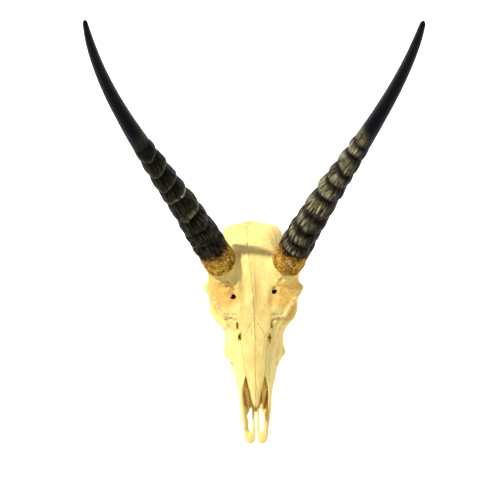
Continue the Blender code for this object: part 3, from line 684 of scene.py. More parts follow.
def along_line(points, line, wide):
    """1 on a wandering line, falling to 0 at that width from it."""
    off = away_from(points, spline(line, 4)) + 0.9 * grain(points, 3, 8)
    return np.clip(1 - off / wide, 0, 1)


def roughen_bone(obj):
    """Gives the bone its smaller forms: crinkled brow edge, channels, temple lines and slight unevenness."""
    mesh = obj.data
    points = read(mesh, "co") / MM
    normals = read(mesh, "normal")
    move = 0.35 * grain(points, 19, 1) + 0.16 * grain(points, 7, 2) + 0.07 * grain(points, 2.6, 3)
    for centre, radii, height in SMALL_RELIEF:
        move += height * near(points, centre, radii) ** 2

    edge = np.clip(1 - away_from(points, spline(BROW_EDGE, 4)) / 4.2, 0, 1)
    move += edge * (0.2 + 0.7 * grain(points, 4.4, 4) + 0.7 * grain(points, 2.2, 5))

    off_temple = away_from(points, spline(TEMPLE_LINE, 4))
    move += 0.9 * np.clip(1 - off_temple / 3.2, 0, 1) * (1 + 0.4 * grain(points, 5, 6))

    for deep, wide, line in CHANNELS:
        move -= deep * along_line(points, line, wide)

    off_middle = points[:, 0] - middle_x(points[:, 1])
    ridge = np.clip((points[:, 1] - 135) / 20, 0, 1) * np.clip((214 - points[:, 1]) / 25, 0, 1)
    move += 1.5 * ridge * np.exp(-((off_middle / 3.2) ** 2))
    right_side = np.clip(0.5 - off_middle / 8, 0.15, 1)
    move -= 0.9 * ridge * right_side * np.exp(-(((np.abs(off_middle) - 9) / 5) ** 2))
    move -= 2.4 * right_side * (off_middle < 0) * near(points, (10, 166, 97), (9, 34, 18))

    nose_ridge = np.clip((points[:, 1] - 58) / 14, 0, 1) * np.clip((128 - points[:, 1]) / 24, 0, 1)
    up = np.clip(normals[:, 2] * 3 - 0.6, 0, 1)
    move += 0.8 * up * nose_ridge * (np.clip(1 - np.abs(off_middle) / 13, 0, 1) - 0.4)

    brow = near(points, (34, 168, 96), (18, 22, 14))
    move += brow * (0.5 * grain(points, 3.2, 7) + 0.3 * grain(points, 1.8, 9))
    write(mesh, (points + normals * move[:, None]) * MM)


def lean_snout(obj):
    """The skull's long axis turns a little, so that the snout points slightly to the animal's left."""
    points = read(obj.data, "co")
    points[:, 0] += SNOUT_LEAN * (SNOUT_LEAN_FROM * MM - points[:, 1])
    write(obj.data, points)


def curve_at(curve, t):
    """A point of a horn's centre line, as t goes from 0 at its base to 1 at its tip."""
    a, b, c, d = (np.array(p, float) for p in curve)
    return (1 - t) ** 3 * a + 3 * t * (1 - t) ** 2 * b + 3 * t * t * (1 - t) * c + t**3 * d


class HornPath:
    """A horn's centre line by distance from its base, with the directions that its rings lie in."""

    def __init__(self, curve):
        steps = 400
        self.points = np.array([curve_at(curve, i / steps) for i in range(steps + 1)])
        gaps = np.linalg.norm(np.diff(self.points, axis=0), axis=1)
        self.reach = np.concatenate([[0], np.cumsum(gaps)])
        self.length = self.reach[-1]
        self.side = 1 if curve[0][0] > 0 else -1
        self.seat = np.array(SEAT_NORMAL) * (self.side, 1, 1)
        self.seat /= np.linalg.norm(self.seat)
        self.front = np.array(HORN_FRONT)

    def at(self, s):
        return np.array([np.interp(s, self.reach, self.points[:, k]) for k in range(3)])

    def way(self, s):
        step = self.at(min(s + 1, self.length)) - self.at(max(s - 1, 0))
        return step / np.linalg.norm(step)

    def front_of(self, way):
        front = self.front - way * self.front.dot(way)
        return front / np.linalg.norm(front)

    def ring_normal(self, s):
        """The base lies on the seat; above it the rings lean to the front and middle, less near the tip."""
        way = self.way(s)
        front = self.front_of(way)
        across = np.cross(way, front) * self.side
        fade = math.exp(-max(0.0, s - RING_LEAN_FROM) / RING_LEAN_FADE)
        leaning = way + (front * RING_LEAN_FRONT - across * RING_LEAN_MIDDLE) * fade
        seated = math.exp(-s / SEAT_REACH)
        normal = leaning * (1 - seated) + self.seat * seated
        return normal / np.linalg.norm(normal)

    def ring(self, s, radius, sides):
        """Points round the horn in the ring plane at s, seen from the front first."""
        way, normal, centre = self.way(s), self.ring_normal(s), self.at(s)
        front = self.front_of(way)
        across = np.cross(way, front)
        angle = np.linspace(0, 2 * math.pi, sides, endpoint=False)
        flat = np.outer(np.cos(angle) * HORN_DEPTH_SHARE, front) + np.outer(np.sin(angle), across)
        spokes = flat * np.broadcast_to(radius, (sides,))[:, None]
        return centre + spokes - np.outer(spokes @ normal / way.dot(normal), way)


def horn_radius(s, length):
    """The sheath's plain taper, without its rings, closing to a small round tip."""
    body = np.interp(s, [step[0] for step in HORN_TAPER], [step[1] for step in HORN_TAPER])
    into_tip = max(0.0, (s - (length - TIP_ROUNDING)) / TIP_ROUNDING)
    return body * math.sqrt(max(0.02, 1 - into_tip**2)) + COLLAR_SWELL * math.exp(-(((s - 8) / 7) ** 2))


def ring_place(s, grooves):
    """Which ring each level lies on, how far up that ring from 0 to 1, and whether it is on a ring."""
    i = np.clip(np.searchsorted(grooves, s, side="right") - 1, 0, len(grooves) - 2)
    phase = (s - grooves[i]) / (grooves[i + 1] - grooves[i])
    return i, phase, (s >= grooves[0]) & (s < grooves[-1])


def ring_swell(s, angle, name, side):
    """How much the rings stand out: a lip low on each, strongest towards the front and the other horn."""
    i, phase, on_ring = ring_place(s, np.array(RING_GROOVES[name]))
    rise = np.sin(math.pi / 2 * np.clip(phase / RING_RISE_SHARE, 0, 1)) ** RING_ROUNDNESS[name]
    past_crest = np.clip((phase - RING_RISE_SHARE) / (1 - RING_RISE_SHARE), 0, 1)
    fall = np.cos(math.pi / 2 * past_crest) ** RING_ROUNDNESS[name]
    shape = np.where(phase < RING_RISE_SHARE, rise, fall)
    lip_place, lip_width, lip_height = SECOND_LIP
    second_lip = lip_height * np.exp(-(((phase - lip_place) / lip_width) ** 2))
    facing = np.cos(angle + side * RING_CREST_ANGLE)
    height = np.array(RING_HEIGHTS[name])[i] * (RING_ALL_ROUND + (1 - RING_ALL_ROUND) * facing)
    return np.where(on_ring, height * (shape + second_lip - RING_LEVEL), 0.0)


def ring_wear_and_highlight(s, angle, grooves, side, name):
    """How far the rings are rubbed pale and painted with highlights: on the crest of each, towards the front
    and the other horn, where the light falls.
    """
    i, phase, on_ring = ring_place(s, grooves)
    crest = np.interp(phase, WEAR_AND_HIGHLIGHT_REACH[name], (0, 1, 1, 0)) * np.array(RING_WEAR_AND_HIGHLIGHT[name])[i]
    facing = np.clip((np.cos(angle + side * 0.95) + 0.25) / 1.15, 0, 1)
    above = RING_WEAR_AND_HIGHLIGHT[name][-1] * np.exp(-(((s - grooves[-1] - 9) / 13) ** 2)) * 0.7
    return np.where(on_ring, crest, above * (s > grooves[-1])) * facing**1.3


def angle_between(angle, other):
    """The smaller angle between the two, in radians."""
    return np.abs((angle - other + math.pi) % (2 * math.pi) - math.pi)


def horn_sheath(name):
    """The keratin sheath with its crusty collar, ring lips and lengthwise striations."""
    path = HornPath(HORN_CURVES[name])
    grooves = np.array(RING_GROOVES[name])
    ringed_to = grooves[-1] + 8
    stations = np.concatenate(
        [
            np.arange(0, ringed_to, HORN_STEP_RINGED),
            np.arange(ringed_to, path.length - TIP_ROUNDING, HORN_STEP_SMOOTH),
            path.length - np.array(TIP_STEPS),
        ]
    )
    angle = np.linspace(0, 2 * math.pi, HORN_SIDES, endpoint=False)
    seed = 1 if name == "horn_left" else 5
    rings, ups, ways, heights, wear_and_highlights = [], [], [], [], []
    for s in stations:
        place_round = np.column_stack([np.cos(angle) * 16, np.sin(angle) * 16, np.full(HORN_SIDES, s)])
        dip = 2.4 * np.cos(angle) + 3.0 * grain(place_round * (1, 1, 0.6), 15, seed)
        level = s + dip * min(1.0, max(0.0, (s - 16) / 14))
        for point_s, point_angle, down in RING_POINTS[name]:
            off = angle_between(angle, point_angle) / 0.45
            level = level + down * np.exp(-(((s - point_s) / 9) ** 2) - off**2)
        swell = ring_swell(level, angle, name, path.side)
        swell = swell * (1 + 0.3 * grain(place_round, 11, seed + 6))
        for knob_s, knob_angle, width, height in HORN_KNOBS[name]:
            off = ((s - knob_s) / width) ** 2 + ((angle_between(angle, knob_angle) * 15) / width) ** 2
            swell = swell + height * np.exp(-off * 2)
        collar = 1 / (1 + math.exp((s - 19) / 1.2))
        crust = 0.6 * grain(place_round, 4.6, seed + 1) + 0.6 * grain(place_round, 2.1, seed + 2)
        ringed = 1 / (1 + math.exp((s - grooves[-1]) / 14))
        lines = grain(place_round * (1, 1, 0.1), 2.0, seed + 3)
        lines = lines + 0.7 * grain(place_round * (1, 1, 0.2), 3.4, seed + 4)
        uneven = 0.45 * grain(place_round, 8, seed + 5)
        low = math.exp(-((max(0.0, s - 30) / 40) ** 2))
        uneven = uneven + LOW_ROUGHNESS[name] * low * grain(place_round, 5.5, seed + 8)
        low_lines = 0.34 + 0.4 * math.exp(-(((s - 40) / 50) ** 2))
        plain = horn_radius(s, path.length)
        raised = swell * (1 - collar) + (1 - collar) * ringed * (lines * low_lines + uneven)
        raised = raised + crust * collar + (1 - ringed) * 0.06 * lines * min(1.0, plain / 6)
        rings.append(path.ring(s, plain + raised, HORN_SIDES))
        ups.append(np.full(HORN_SIDES, s))
        ways.append(place_round * (1, 1, 0.1))
        heights.append(raised)
        wear_and_highlights.append(ring_wear_and_highlight(level, angle, grooves, path.side, name))
    rings[0] = rings[0] + path.seat * FIT_GAP
    obj = solid(name, [skin(rings)])
    store(obj, "up", np.concatenate(ups))
    store(obj, "grain_way", np.concatenate(ways))
    store(obj, "raised", np.concatenate(heights))
    store(obj, "wear_and_highlight", np.concatenate(wear_and_highlights))
    return obj


def store(obj, name, values):
    """Keeps one number or one vector for each point of the mesh, for the material to read."""
    kind, key = ("FLOAT", "value") if values.ndim == 1 else ("FLOAT_VECTOR", "vector")
    obj.data.attributes.new(name, kind, "POINT").data.foreach_set(key, values.astype(np.float32).ravel())


def horn_core(name, grow=0.0):
    """The bony core that rises from the brow into the sheath; grow makes the hollow that it fits."""
    path = HornPath(HORN_CURVES[name])
    stations = [(-7.0 if grow == 0 else -3.0), 0.0, 20.0, 42.0, CORE_LENGTH - 4, CORE_LENGTH]
    sizes = [CORE_RADIUS, CORE_RADIUS, 10.4, 8.2, 6.0, 3.0]
    rings = []
    for s, size in zip(stations, sizes):
        beyond = min(s, 0.0)
        ring = path.ring(max(s, 0.0), size + grow, 24) + path.way(0) * beyond
        rings.append(ring + path.way(s if s > 0 else 0) * (grow if s == CORE_LENGTH else 0))
    return skin(rings)


def seat_clearance(name):
    """All that lies above the sheath's lower edge, within its outline and a little more, except the core."""
    path = HornPath(HORN_CURVES[name])
    low = path.ring(0.0, HORN_TAPER[0][1] + 6, 40)
    high = low + path.way(0) * 26 + path.seat * 8
    return skin([low, high])


def make_skull():
    obj = fuse(solid("skull_bone", main_masses()), BODY_VOXEL, BODY_SMOOTHING)
    carve(obj, fuse(solid("hollows", hollows()), BODY_VOXEL, 2))
    add_bodies(obj, edges_and_processes() + nose_scrolls())
    fuse(obj, FINE_VOXEL, FINE_SMOOTHING)
    ease_muzzle(obj)
    press_relief(obj)
    roughen_bone(obj)
    fewer = obj.modifiers.new("fewer", "DECIMATE")
    triangles = sum(len(p.vertices) - 2 for p in obj.data.polygons)
    fewer.ratio = min(1.0, SKULL_TRIANGLES / triangles)
    settle(obj)
    for opening in (*small_openings(), *nose_slots()):
        carve(obj, solid("opening", [opening]))
    return obj


def split_snout(obj):
    """A slit parts the two front bones, wider towards the tip, with a pointed opening at each side."""
    slit = [(-2.8, -4, 2), (2.8, -4, 2), (1.0, 15, 2), (0.9, 36.5, 2), (-0.9, 36.5, 2), (-1.0, 15, 2)]
    opening = [(4.2, 33, 4), (9.8, 30, 4), (9.4, 35, 4), (7.6, 39.5, 4), (5.3, 44.5, 4), (4.2, 41, 4)]
    for outline, tall in ((slit, 22), (opening, 17), ([(-x, y, z) for x, y, z in opening[::-1]], 17)):
        low = np.array(outline, float)
        carve(obj, solid("slit", [skin([low, low + (0, 0, tall)])]))


def seat_horns(obj):
    """Flattens the brow under each sheath and leaves the bony core standing."""
    for name in HORN_CURVES:
        carve(obj, solid("clearance", [seat_clearance(name)]))
        carve(obj, solid("core", [horn_core(name)]), "UNION")


def make_horn(name):
    return carve(horn_sheath(name), solid("hollow", [horn_core(name, FIT_GAP)]))


def tooth_places():
    """Each cheek tooth of the animal's left: name, middle x and y, length, width, turn in radians, lobes."""
    total = sum(tooth[1] for tooth in CHEEK_TEETH)
    y = TOOTH_ROW_START
    for name, length, width, lobes in CHEEK_TEETH:
        share = (y + length / 2 - TOOTH_ROW_START) / total
        bow = math.sin(math.pi / 2 * min(1, share * 1.25))
        x = TOOTH_ROW_FRONT_X + (TOOTH_ROW_BACK_X - TOOTH_ROW_FRONT_X) * bow
        turn = 0.14 * (1 - share)
        yield name, x, y + length / 2, length, width, turn, lobes
        y += length + FIT_GAP


TOOTH_OUTLINE = ((-0.86, -0.9), (0.86, -0.9), (1.0, -0.3), (0.93, 0.62), (0.5, 1.0), (0.06, 0.74))
TOOTH_OUTLINE += ((-0.06, 0.74), (-0.5, 1.0), (-0.93, 0.62), (-1.0, -0.3))


def tooth_body(x, y, length, width, turn, grow=0.0):
    """A high crown with two lobes along its cheek side, and the root that goes into the bone."""
    high = CROWN_HEIGHT + ROOT_DEPTH + grow
    levels = ((-8.0 if grow else 0.0, 0.94), (CROWN_HEIGHT * 0.5, 1.0), (high, 0.92))
    rings = []
    for z, share in levels:
        ring = []
        for along, out in TOOTH_OUTLINE:
            v = along * (length / 2 * share + grow)
            u = out * (width / 2 * share + grow)
            px = x + u * math.cos(turn) + v * math.sin(turn)
            py = y + v * math.cos(turn) - u * math.sin(turn)
            ring.append((px, py, z))
        rings.append(np.array(ring))
    return skin(rings)


def chewing_depth(v, u, lobes):
    """How far the worn face lies above the table: tall cheek-side peaks, crescents, low tongue side."""
    along = (v * lobes * 0.5 + (0.5 if lobes == 2 else 0.0)) * 2 * math.pi
    peak = 0.5 - 0.5 * np.cos(along + (0 if lobes == 2 else math.pi))
    rim = 0.9 - 0.9 * np.clip(u, -1, 1) * 0.5 - 0.7 * peak * np.clip(u + 0.2, 0, 1)
    bow = 0.32 - 0.30 * np.cos(along)
    crescent = np.exp(-(((u - 0.35 + bow * 0.9) / 0.13) ** 2))
    ridge = np.exp(-(((u + 0.28 + bow * 0.5) / 0.12) ** 2))
    return np.clip(rim + 1.1 * crescent - 0.35 * ridge, 0.0, 2.4)


def tooth_crown(x, y, length, width, turn, lobes, side):
    """A tooth with its lobed walls, lengthwise ribs and worn chewing face."""
    outline = spline(TOOTH_OUTLINE, TOOTH_SIDES // len(TOOTH_OUTLINE), closed=True)
    if lobes == 1:
        dent = np.exp(-((outline[:, 0] / 0.3) ** 2)) * np.clip(outline[:, 1], 0, 1)
        outline[:, 1] += 0.2 * dent
    high = CROWN_HEIGHT + ROOT_DEPTH
    rings = []
    shares = [0.12, 0.3, 0.45, 0.6, 0.72, 0.82, 0.9, 0.96]
    for share in shares:
        v, u = outline[:, 0] * share, outline[:, 1] * share
        rings.append((v * 0.94, u * 0.94, chewing_depth(v, u, lobes)))
    for k in range(13):
        z = 0.35 + (high - 0.35) * (k / 12) ** 1.1
        narrowing = 0.08 * max(0.0, z - CROWN_HEIGHT) / ROOT_DEPTH
        bulge = 0.94 + 0.06 * math.sin(math.pi * min(1.0, z / CROWN_HEIGHT) * 0.5) - narrowing
        v, u = outline[:, 0] * bulge, outline[:, 1] * bulge
        low = chewing_depth(outline[:, 0], outline[:, 1], lobes) + 0.25
        rings.append((v, u, np.maximum(z, low * (1 - k / 12) + z * k / 12)))
    made = []
    for v, u, z in rings:
        vv, uu = v * length / 2, u * width / 2
        px = x + uu * math.cos(turn) + vv * math.sin(turn)
        py = y + vv * math.cos(turn) - uu * math.sin(turn)
        made.append(np.column_stack([px * side, py, np.broadcast_to(z, px.shape)]))
    return skin(made)


def make_teeth():
    teeth = {}
    for name, x, y, length, width, turn, lobes in tooth_places():
        for side, word in ((1, "left"), (-1, "right")):
            body = tooth_crown(x, y, length, width, turn, lobes, side)
            obj = solid(f"enamel_{name}_{word}", [body])
            points = read(obj.data, "co") / MM
            store(obj, "worn", np.clip(points[:, 2] / 1.6, 0, 1) * (read(obj.data, "normal")[:, 2] < -0.3))
            store(obj, "bend", edge_and_crease(obj.data, points, read(obj.data, "normal"), 1))
            teeth[f"{name}_{word}"] = obj
    return teeth


def cut_sockets(obj):
    sockets = []
    for _, x, y, length, width, turn, _ in tooth_places():
        sockets.append(tooth_body(x, y, length, width, turn, FIT_GAP))
    for side in (sockets, [mirrored(b) for b in sockets]):
        for body in side:
            carve(obj, solid("socket", [body]))


def flatten_rear_feet(obj):
    """The two processes behind the ears, which the skull rests on, end flat at the table's height."""
    low, high = np.array(((-40, 225, 0), (40, 225, 0), (40, 265, 0), (-40, 265, 0)), float), -9.0
    carve(obj, solid("table", [skin([low + (0, 0, high), low])]))


def place(obj):
    """Moves the finished mesh from skull coordinates onto the frame's origin."""
    write(obj.data, read(obj.data, "co") + TO_ORIGIN * MM)


def edge_and_crease(mesh, points, normals, passes):
    """Above 0 on sharp edges and below 0 in creases, per millimetre."""
    mean = neighbours_mean(mesh)
    middle = np.column_stack([mean(points[:, k]) for k in range(3)])
    spread = np.maximum(0.04, mean((points**2).sum(1)) - 2 * (points * middle).sum(1) + (points**2).sum(1))
    bend = 2 * ((points - middle) * normals).sum(1) / spread
    for _ in range(passes):
        bend = (bend + mean(bend)) / 2
    return bend


def sheltered(mesh, reach, rays, passes):
    """The share of the directions round each point's normal that meet bone within reach millimetres."""
    tree = BVHTree.FromPolygons([v.co for v in mesh.vertices], [tuple(p.vertices) for p in mesh.polygons])
    points, normals = read(mesh, "co"), read(mesh, "normal")
    ways = []
    for k in range(rays):
        up = (k + 0.5) / rays
        turn = k * math.pi * (3 - math.sqrt(5))
        ways.append((math.cos(turn) * math.sqrt(1 - up * up), math.sin(turn) * math.sqrt(1 - up * up), up))
    ways = np.array(ways)
    side = np.cross(normals, (0.31, 0.57, 0.76))
    side /= np.maximum(1e-9, np.linalg.norm(side, axis=1))[:, None]
    other = np.cross(normals, side)
    met = np.zeros(len(points))
    for way in ways:
        cast = side * way[0] + other * way[1] + normals * way[2]
        starts = points + normals * 0.3 * MM
        for i, (start, go) in enumerate(zip(starts.tolist(), cast.tolist())):
            if tree.ray_cast(start, go, reach * MM)[0] is not None:
                met[i] += 1
    met /= rays
    mean = neighbours_mean(mesh)
    for _ in range(passes):
        met = (met + mean(met)) / 2
    return met


def mark_bone(obj):
    """Keeps, for the bone's material, where it is stained, porous, sheltered, on an edge or near a seam, and
    where painted shade goes: hollows, channels, the holes over the eyes and the brow's edge.
    """
    mesh = obj.data
    points = read(mesh, "co") / MM
    points[:, 0] -= SNOUT_LEAN * (SNOUT_LEAN_FROM - points[:, 1])
    normals = read(mesh, "normal")
    x, y, z = points.T
    wide = np.abs(x)

    stain_and_shade = near(points, (36, 158, 88), (20, 22, 16))
    stain_and_shade = np.maximum(stain_and_shade, 0.8 * near(points, (46, 172, 90), (14, 14, 12)))
    stain_and_shade = np.maximum(stain_and_shade, 0.9 * near(points, (22, 150, 92), (9, 12, 12)))
    # the faint amber on the cheek under each eye is painted shade
    stain_and_shade = np.maximum(stain_and_shade, 0.15 * near(points, (44, 142, 52), (14, 20, 14)))
    store(obj, "stain_and_shade", stain_and_shade * np.clip(normals[:, 2] * 2 + 0.6, 0, 1))

    pores = np.maximum(near(points, (28, 168, 98), (13, 13, 12)), near(points, (50, 170, 84), (9, 9, 8)))
    pores = np.maximum(pores, 0.7 * near(points, (26, 246, 30), (12, 12, 18)))
    pores = np.maximum(pores, 0.6 * near(points, (27, 130, 18), (9, 46, 9)))
    store(obj, "porous", pores)

    # where the brow's crinkled edge gets painted highlights and painted shade
    rim = np.clip(1.3 - away_from(points, spline(BROW_EDGE, 4)) / 4.5, 0, 1)
    store(obj, "rim", rim * np.clip(normals[:, 2] * 2 + 0.6, 0, 1))
    store(obj, "bend", edge_and_crease(mesh, points, normals, 2))
    # painted shade and bounced light in the hollows: the share of directions that meet bone nearby, kept low
    # in the eye sockets
    eye = np.maximum(near(points, ORBIT_CENTRE, (34, 31, 30)), near(points, (38, 192, 62), (18, 32, 24)))
    store(obj, "hollow_shade", sheltered(mesh, 26, 12, 2) * (1 - np.clip(eye * 2.5, 0, 0.92)))

    seamed = np.clip(normals[:, 2] * 4 - 0.6, 0, 1) + (normals[:, 2] < -0.5)
    wander = 0.9 * grain(points, 6, 21) + 0.5 * grain(points, 2.2, 22)
    store(obj, "seam_middle", np.where(seamed > 0, x - middle_x(y) + wander, 9.0))
    nose = y - (113 + np.minimum(13, 1.7 * np.abs(wide - 12.4))) + wander * 1.6
    store(obj, "seam_nose", np.where((seamed > 0) & (wide < 21) & (wide > 3), nose, 9.0))
    side = wide - np.interp(y, (60, 78, 105), (8.6, 11.6, 14.6)) + wander * 0.5
    store(obj, "seam_side", np.where((seamed > 0) & (y > 57) & (y < 108), side, 9.0))
    crown = y - (212 + 0.012 * wide**2) + wander * 2.2
    store(obj, "seam_crown", np.where((seamed > 0) & (wide < 24), crown, 9.0))
    # painted shade: the channels and the ragged step before the eye are painted darker where shade falls in
    # them
    crease_shade = np.max([along_line(points, line, wide * 0.9) for _, wide, line in CHANNELS], axis=0)
    cheek_step = near(points, (30, 133.5, 76), (12, 7, 9)) * (0.35 + 0.5 * grain(points, 2.6, 11))
    crease_shade = np.maximum(crease_shade * 0.8, cheek_step)
    store(obj, "crease_shade", crease_shade * np.clip(normals[:, 2] * 3, 0, 1))
    # painted shade: inside the holes over the eyes, which are painted near-black
    hole_y = np.where(x < 0, EYE_HOLE_RIGHT_Y, EYE_HOLE_LEFT_Y)
    inside = near(np.column_stack([x, y - hole_y, z]), (23.4, 0, 86), (4.4, 4.2, 11))
    store(obj, "deep", inside * (normals[:, 2] < 0.7))


# Materials


def paint(hex_code):
    """A colour as written for the screen, turned to the linear values that the shaders take."""
    values = [int(hex_code[i : i + 2], 16) / 255 for i in (1, 3, 5)]
    linear = [v / 12.92 if v <= 0.04045 else ((v + 0.055) / 1.055) ** 2.4 for v in values]
    return (*linear, 1.0)


def add(tree, kind, inputs, result=0, **settings):
    """Adds one node with its settings; each input takes a value or the result of another node."""
    node = tree.nodes.new("ShaderNode" + kind)
    for name, value in settings.items():
        setattr(node, name, value)
    for socket, value in inputs.items():
        if isinstance(value, bpy.types.NodeSocket):
            tree.links.new(value, node.inputs[socket])
        else:
            node.inputs[socket].default_value = value
    return node.outputs[result]


def new_material(name):
    made = bpy.data.materials.new(name)
    made.use_nodes = True
    return made, made.node_tree, made.node_tree.nodes["Principled BSDF"]


def cloud(tree, where, size, low, high, most=1.0, detail=4.0, rough=0.6, unit=MM):
    """Patches of about that size: 0 outside, up to most inside, with an edge that runs from low to high."""
    inputs = {"Vector": where, "Scale": 1 / (size * unit), "Detail": detail, "Roughness": rough}
    noise = add(tree, "TexNoise", inputs)
    edge = {"Value": noise, "From Min": low, "From Max": high, "To Max": most}
    return add(tree, "MapRange", edge, interpolation_type="SMOOTHSTEP")


def mark(tree, name, low, high, most=1.0):
    """A share up to most, as the number kept on the mesh under that name goes from low to high."""
    kept = add(tree, "Attribute", {}, "Fac", attribute_name=name)
    edge = {"Value": kept, "From Min": low, "From Max": high, "To Max": most}
    return add(tree, "MapRange", edge, interpolation_type="SMOOTHSTEP")


def lay(tree, under, hex_code, *shares):
    """The colour under, with another laid over it by the product of the shares."""
    share = shares[0]
    for other in shares[1:]:
        share = add(tree, "Math", {0: share, 1: other}, operation="MULTIPLY")
    return add(tree, "Mix", {0: share, 6: under, 7: paint(hex_code)}, 2, data_type="RGBA")


def pits(tree, where, size, low, high, unit=MM):
    """Round pits scattered about that far apart: 1 at the middle of each, 0 outside it."""
    cells = add(tree, "TexVoronoi", {"Vector": where, "Scale": 1 / (size * unit)})
    edge = {"Value": cells, "From Min": high, "From Max": low}
    return add(tree, "MapRange", edge, interpolation_type="SMOOTHSTEP")


def relief(tree, shader, strength, *layers):
    """Bump from layers of height, each given as a share and its height in millimetres."""
    height = 0.0
    for share, tall in layers:
        height = add(tree, "Math", {0: share, 1: tall, 2: height}, operation="MULTIPLY_ADD")
    normal = add(tree, "Bump", {"Height": height, "Distance": MM, "Strength": strength})
    tree.links.new(normal, shader.inputs["Normal"])


def aged_bone():
    """Dry cleaned bone: warm ivory, never one colour, with amber fat stain, open pores and darker seams, and
    painted shade in its creases, hollows and holes.
    """
    made, tree, shader = new_material("bone, dry and fat-stained, matt")
    where = add(tree, "TexCoord", {}, "Object")

    # broad clouds of paler and deeper ivory, and streaks that run with the length of the bones
    lengthwise = add(tree, "Mapping", {"Vector": where, "Scale": (1, 0.16, 1)})
    broad = cloud(tree, where, 26, 0.35, 0.65, 1, 3)
    ivory = add(tree, "Mix", {0: broad, 6: paint("#F5DF84"), 7: paint("#F0CF79")}, 2, data_type="RGBA")
    colour = lay(tree, ivory, "#FCECA0", cloud(tree, lengthwise, 4.5, 0.46, 0.72, 0.6, 5))
    colour = lay(tree, colour, "#E0B766", cloud(tree, lengthwise, 5.5, 0.52, 0.74, 0.5, 5, 0.65))

    # amber where fat has soaked the brows, and faintly on the cheek under each eye as painted shade
    stain_and_shade = mark(tree, "stain_and_shade", 0.05, 0.6)
    colour = lay(tree, colour, "#F4B648", stain_and_shade, cloud(tree, where, 6, 0.25, 0.62, 0.85, 7, 0.75))
    colour = lay(tree, colour, "#DC8C3A", stain_and_shade, cloud(tree, where, 3.0, 0.54, 0.7, 0.6, 6, 0.75))

    # creases are painted darker, partly old dirt and partly painted shade; worn edges are chalky
    colour = lay(tree, colour, "#A97A32", mark(tree, "bend", -0.06, -0.5, 0.6))
    colour = lay(tree, colour, "#FFF6BE", mark(tree, "bend", 0.16, 0.7, 0.35))
    # the brow's crinkled edge: pale flecks are painted highlights on its crumbs, dark flecks painted shade
    # beside them
    rim = mark(tree, "rim", 0.15, 0.8)
    colour = lay(tree, colour, "#FBE9A4", rim, cloud(tree, where, 2.6, 0.44, 0.58, 0.6, 3))
    colour = lay(tree, colour, "#7A5426", rim, cloud(tree, where, 2.3, 0.42, 0.33, 0.7, 3))

    # painted shade and bounced light: the hollows are painted browner and more golden the deeper they lie,
    # and the holes over the eyes are painted near-black as shade
    colour = lay(tree, colour, "#FFD974", mark(tree, "hollow_shade", 0.36, 0.75, 0.9))
    colour = lay(tree, colour, "#E09A30", mark(tree, "hollow_shade", 0.85, 1.0, 0.4))
    # painted shade in the channels and in the step before the eye
    crease_shade = mark(tree, "crease_shade", 0.25, 0.8, 0.8)
    colour = lay(tree, colour, "#8A5A20", crease_shade, cloud(tree, where, 2.4, 0.36, 0.5))
    colour = lay(tree, colour, "#141C34", mark(tree, "deep", 0.05, 0.2))

    # pores: real ones are 0.3 mm wide, drawn at 1.3 mm so that they show from a step away
    pore = pits(tree, where, 1.7, 0.12, 0.36)
    pore = add(tree, "Math", {0: pore, 1: mark(tree, "porous", 0.1, 0.8)}, operation="MULTIPLY")
    pore = add(tree, "Math", {0: pore, 1: cloud(tree, where, 4, 0.42, 0.58)}, operation="MULTIPLY")
    colour = lay(tree, colour, "#8E6426", add(tree, "Math", {0: pore, 1: 0.8}, operation="MULTIPLY"))

    # seams between the bones: thin, wandering and a little darker
    seam = 0.0
    for name, half in (("seam_middle", 0.55), ("seam_nose", 0.6), ("seam_side", 0.35), ("seam_crown", 0.45)):
        kept = add(tree, "Attribute", {}, "Fac", attribute_name=name)
        off = add(tree, "Math", {0: kept}, operation="ABSOLUTE")
        edge = {"Value": off, "From Min": half, "From Max": 0.1}
        line = add(tree, "MapRange", edge, interpolation_type="SMOOTHSTEP")
        seam = add(tree, "Math", {0: line, 1: seam}, operation="MAXIMUM")
    seam = add(tree, "Math", {0: seam, 1: cloud(tree, where, 9, 0.34, 0.48)}, operation="MULTIPLY")
    colour = lay(tree, colour, "#9A7236", add(tree, "Math", {0: seam, 1: 0.6}, operation="MULTIPLY"))
    tree.links.new(colour, shader.inputs["Base Color"])

    # dry fine grain of the surface, with the pores and seams sunk into it
    fine = cloud(tree, where, 1.1, 0.2, 0.8, 1, 4, 0.7)
    streaks = cloud(tree, lengthwise, 2.2, 0.2, 0.8, 1, 4)
    relief(tree, shader, 1.0, (fine, 0.16), (streaks, 0.34), (pore, -0.8), (seam, -0.5))
    tree.links.new(cloud(tree, where, 5, 0.0, 1.0, 1.2), shader.inputs["Roughness"])
    shader.inputs["Specular IOR Level"].default_value = 0.3
    return made


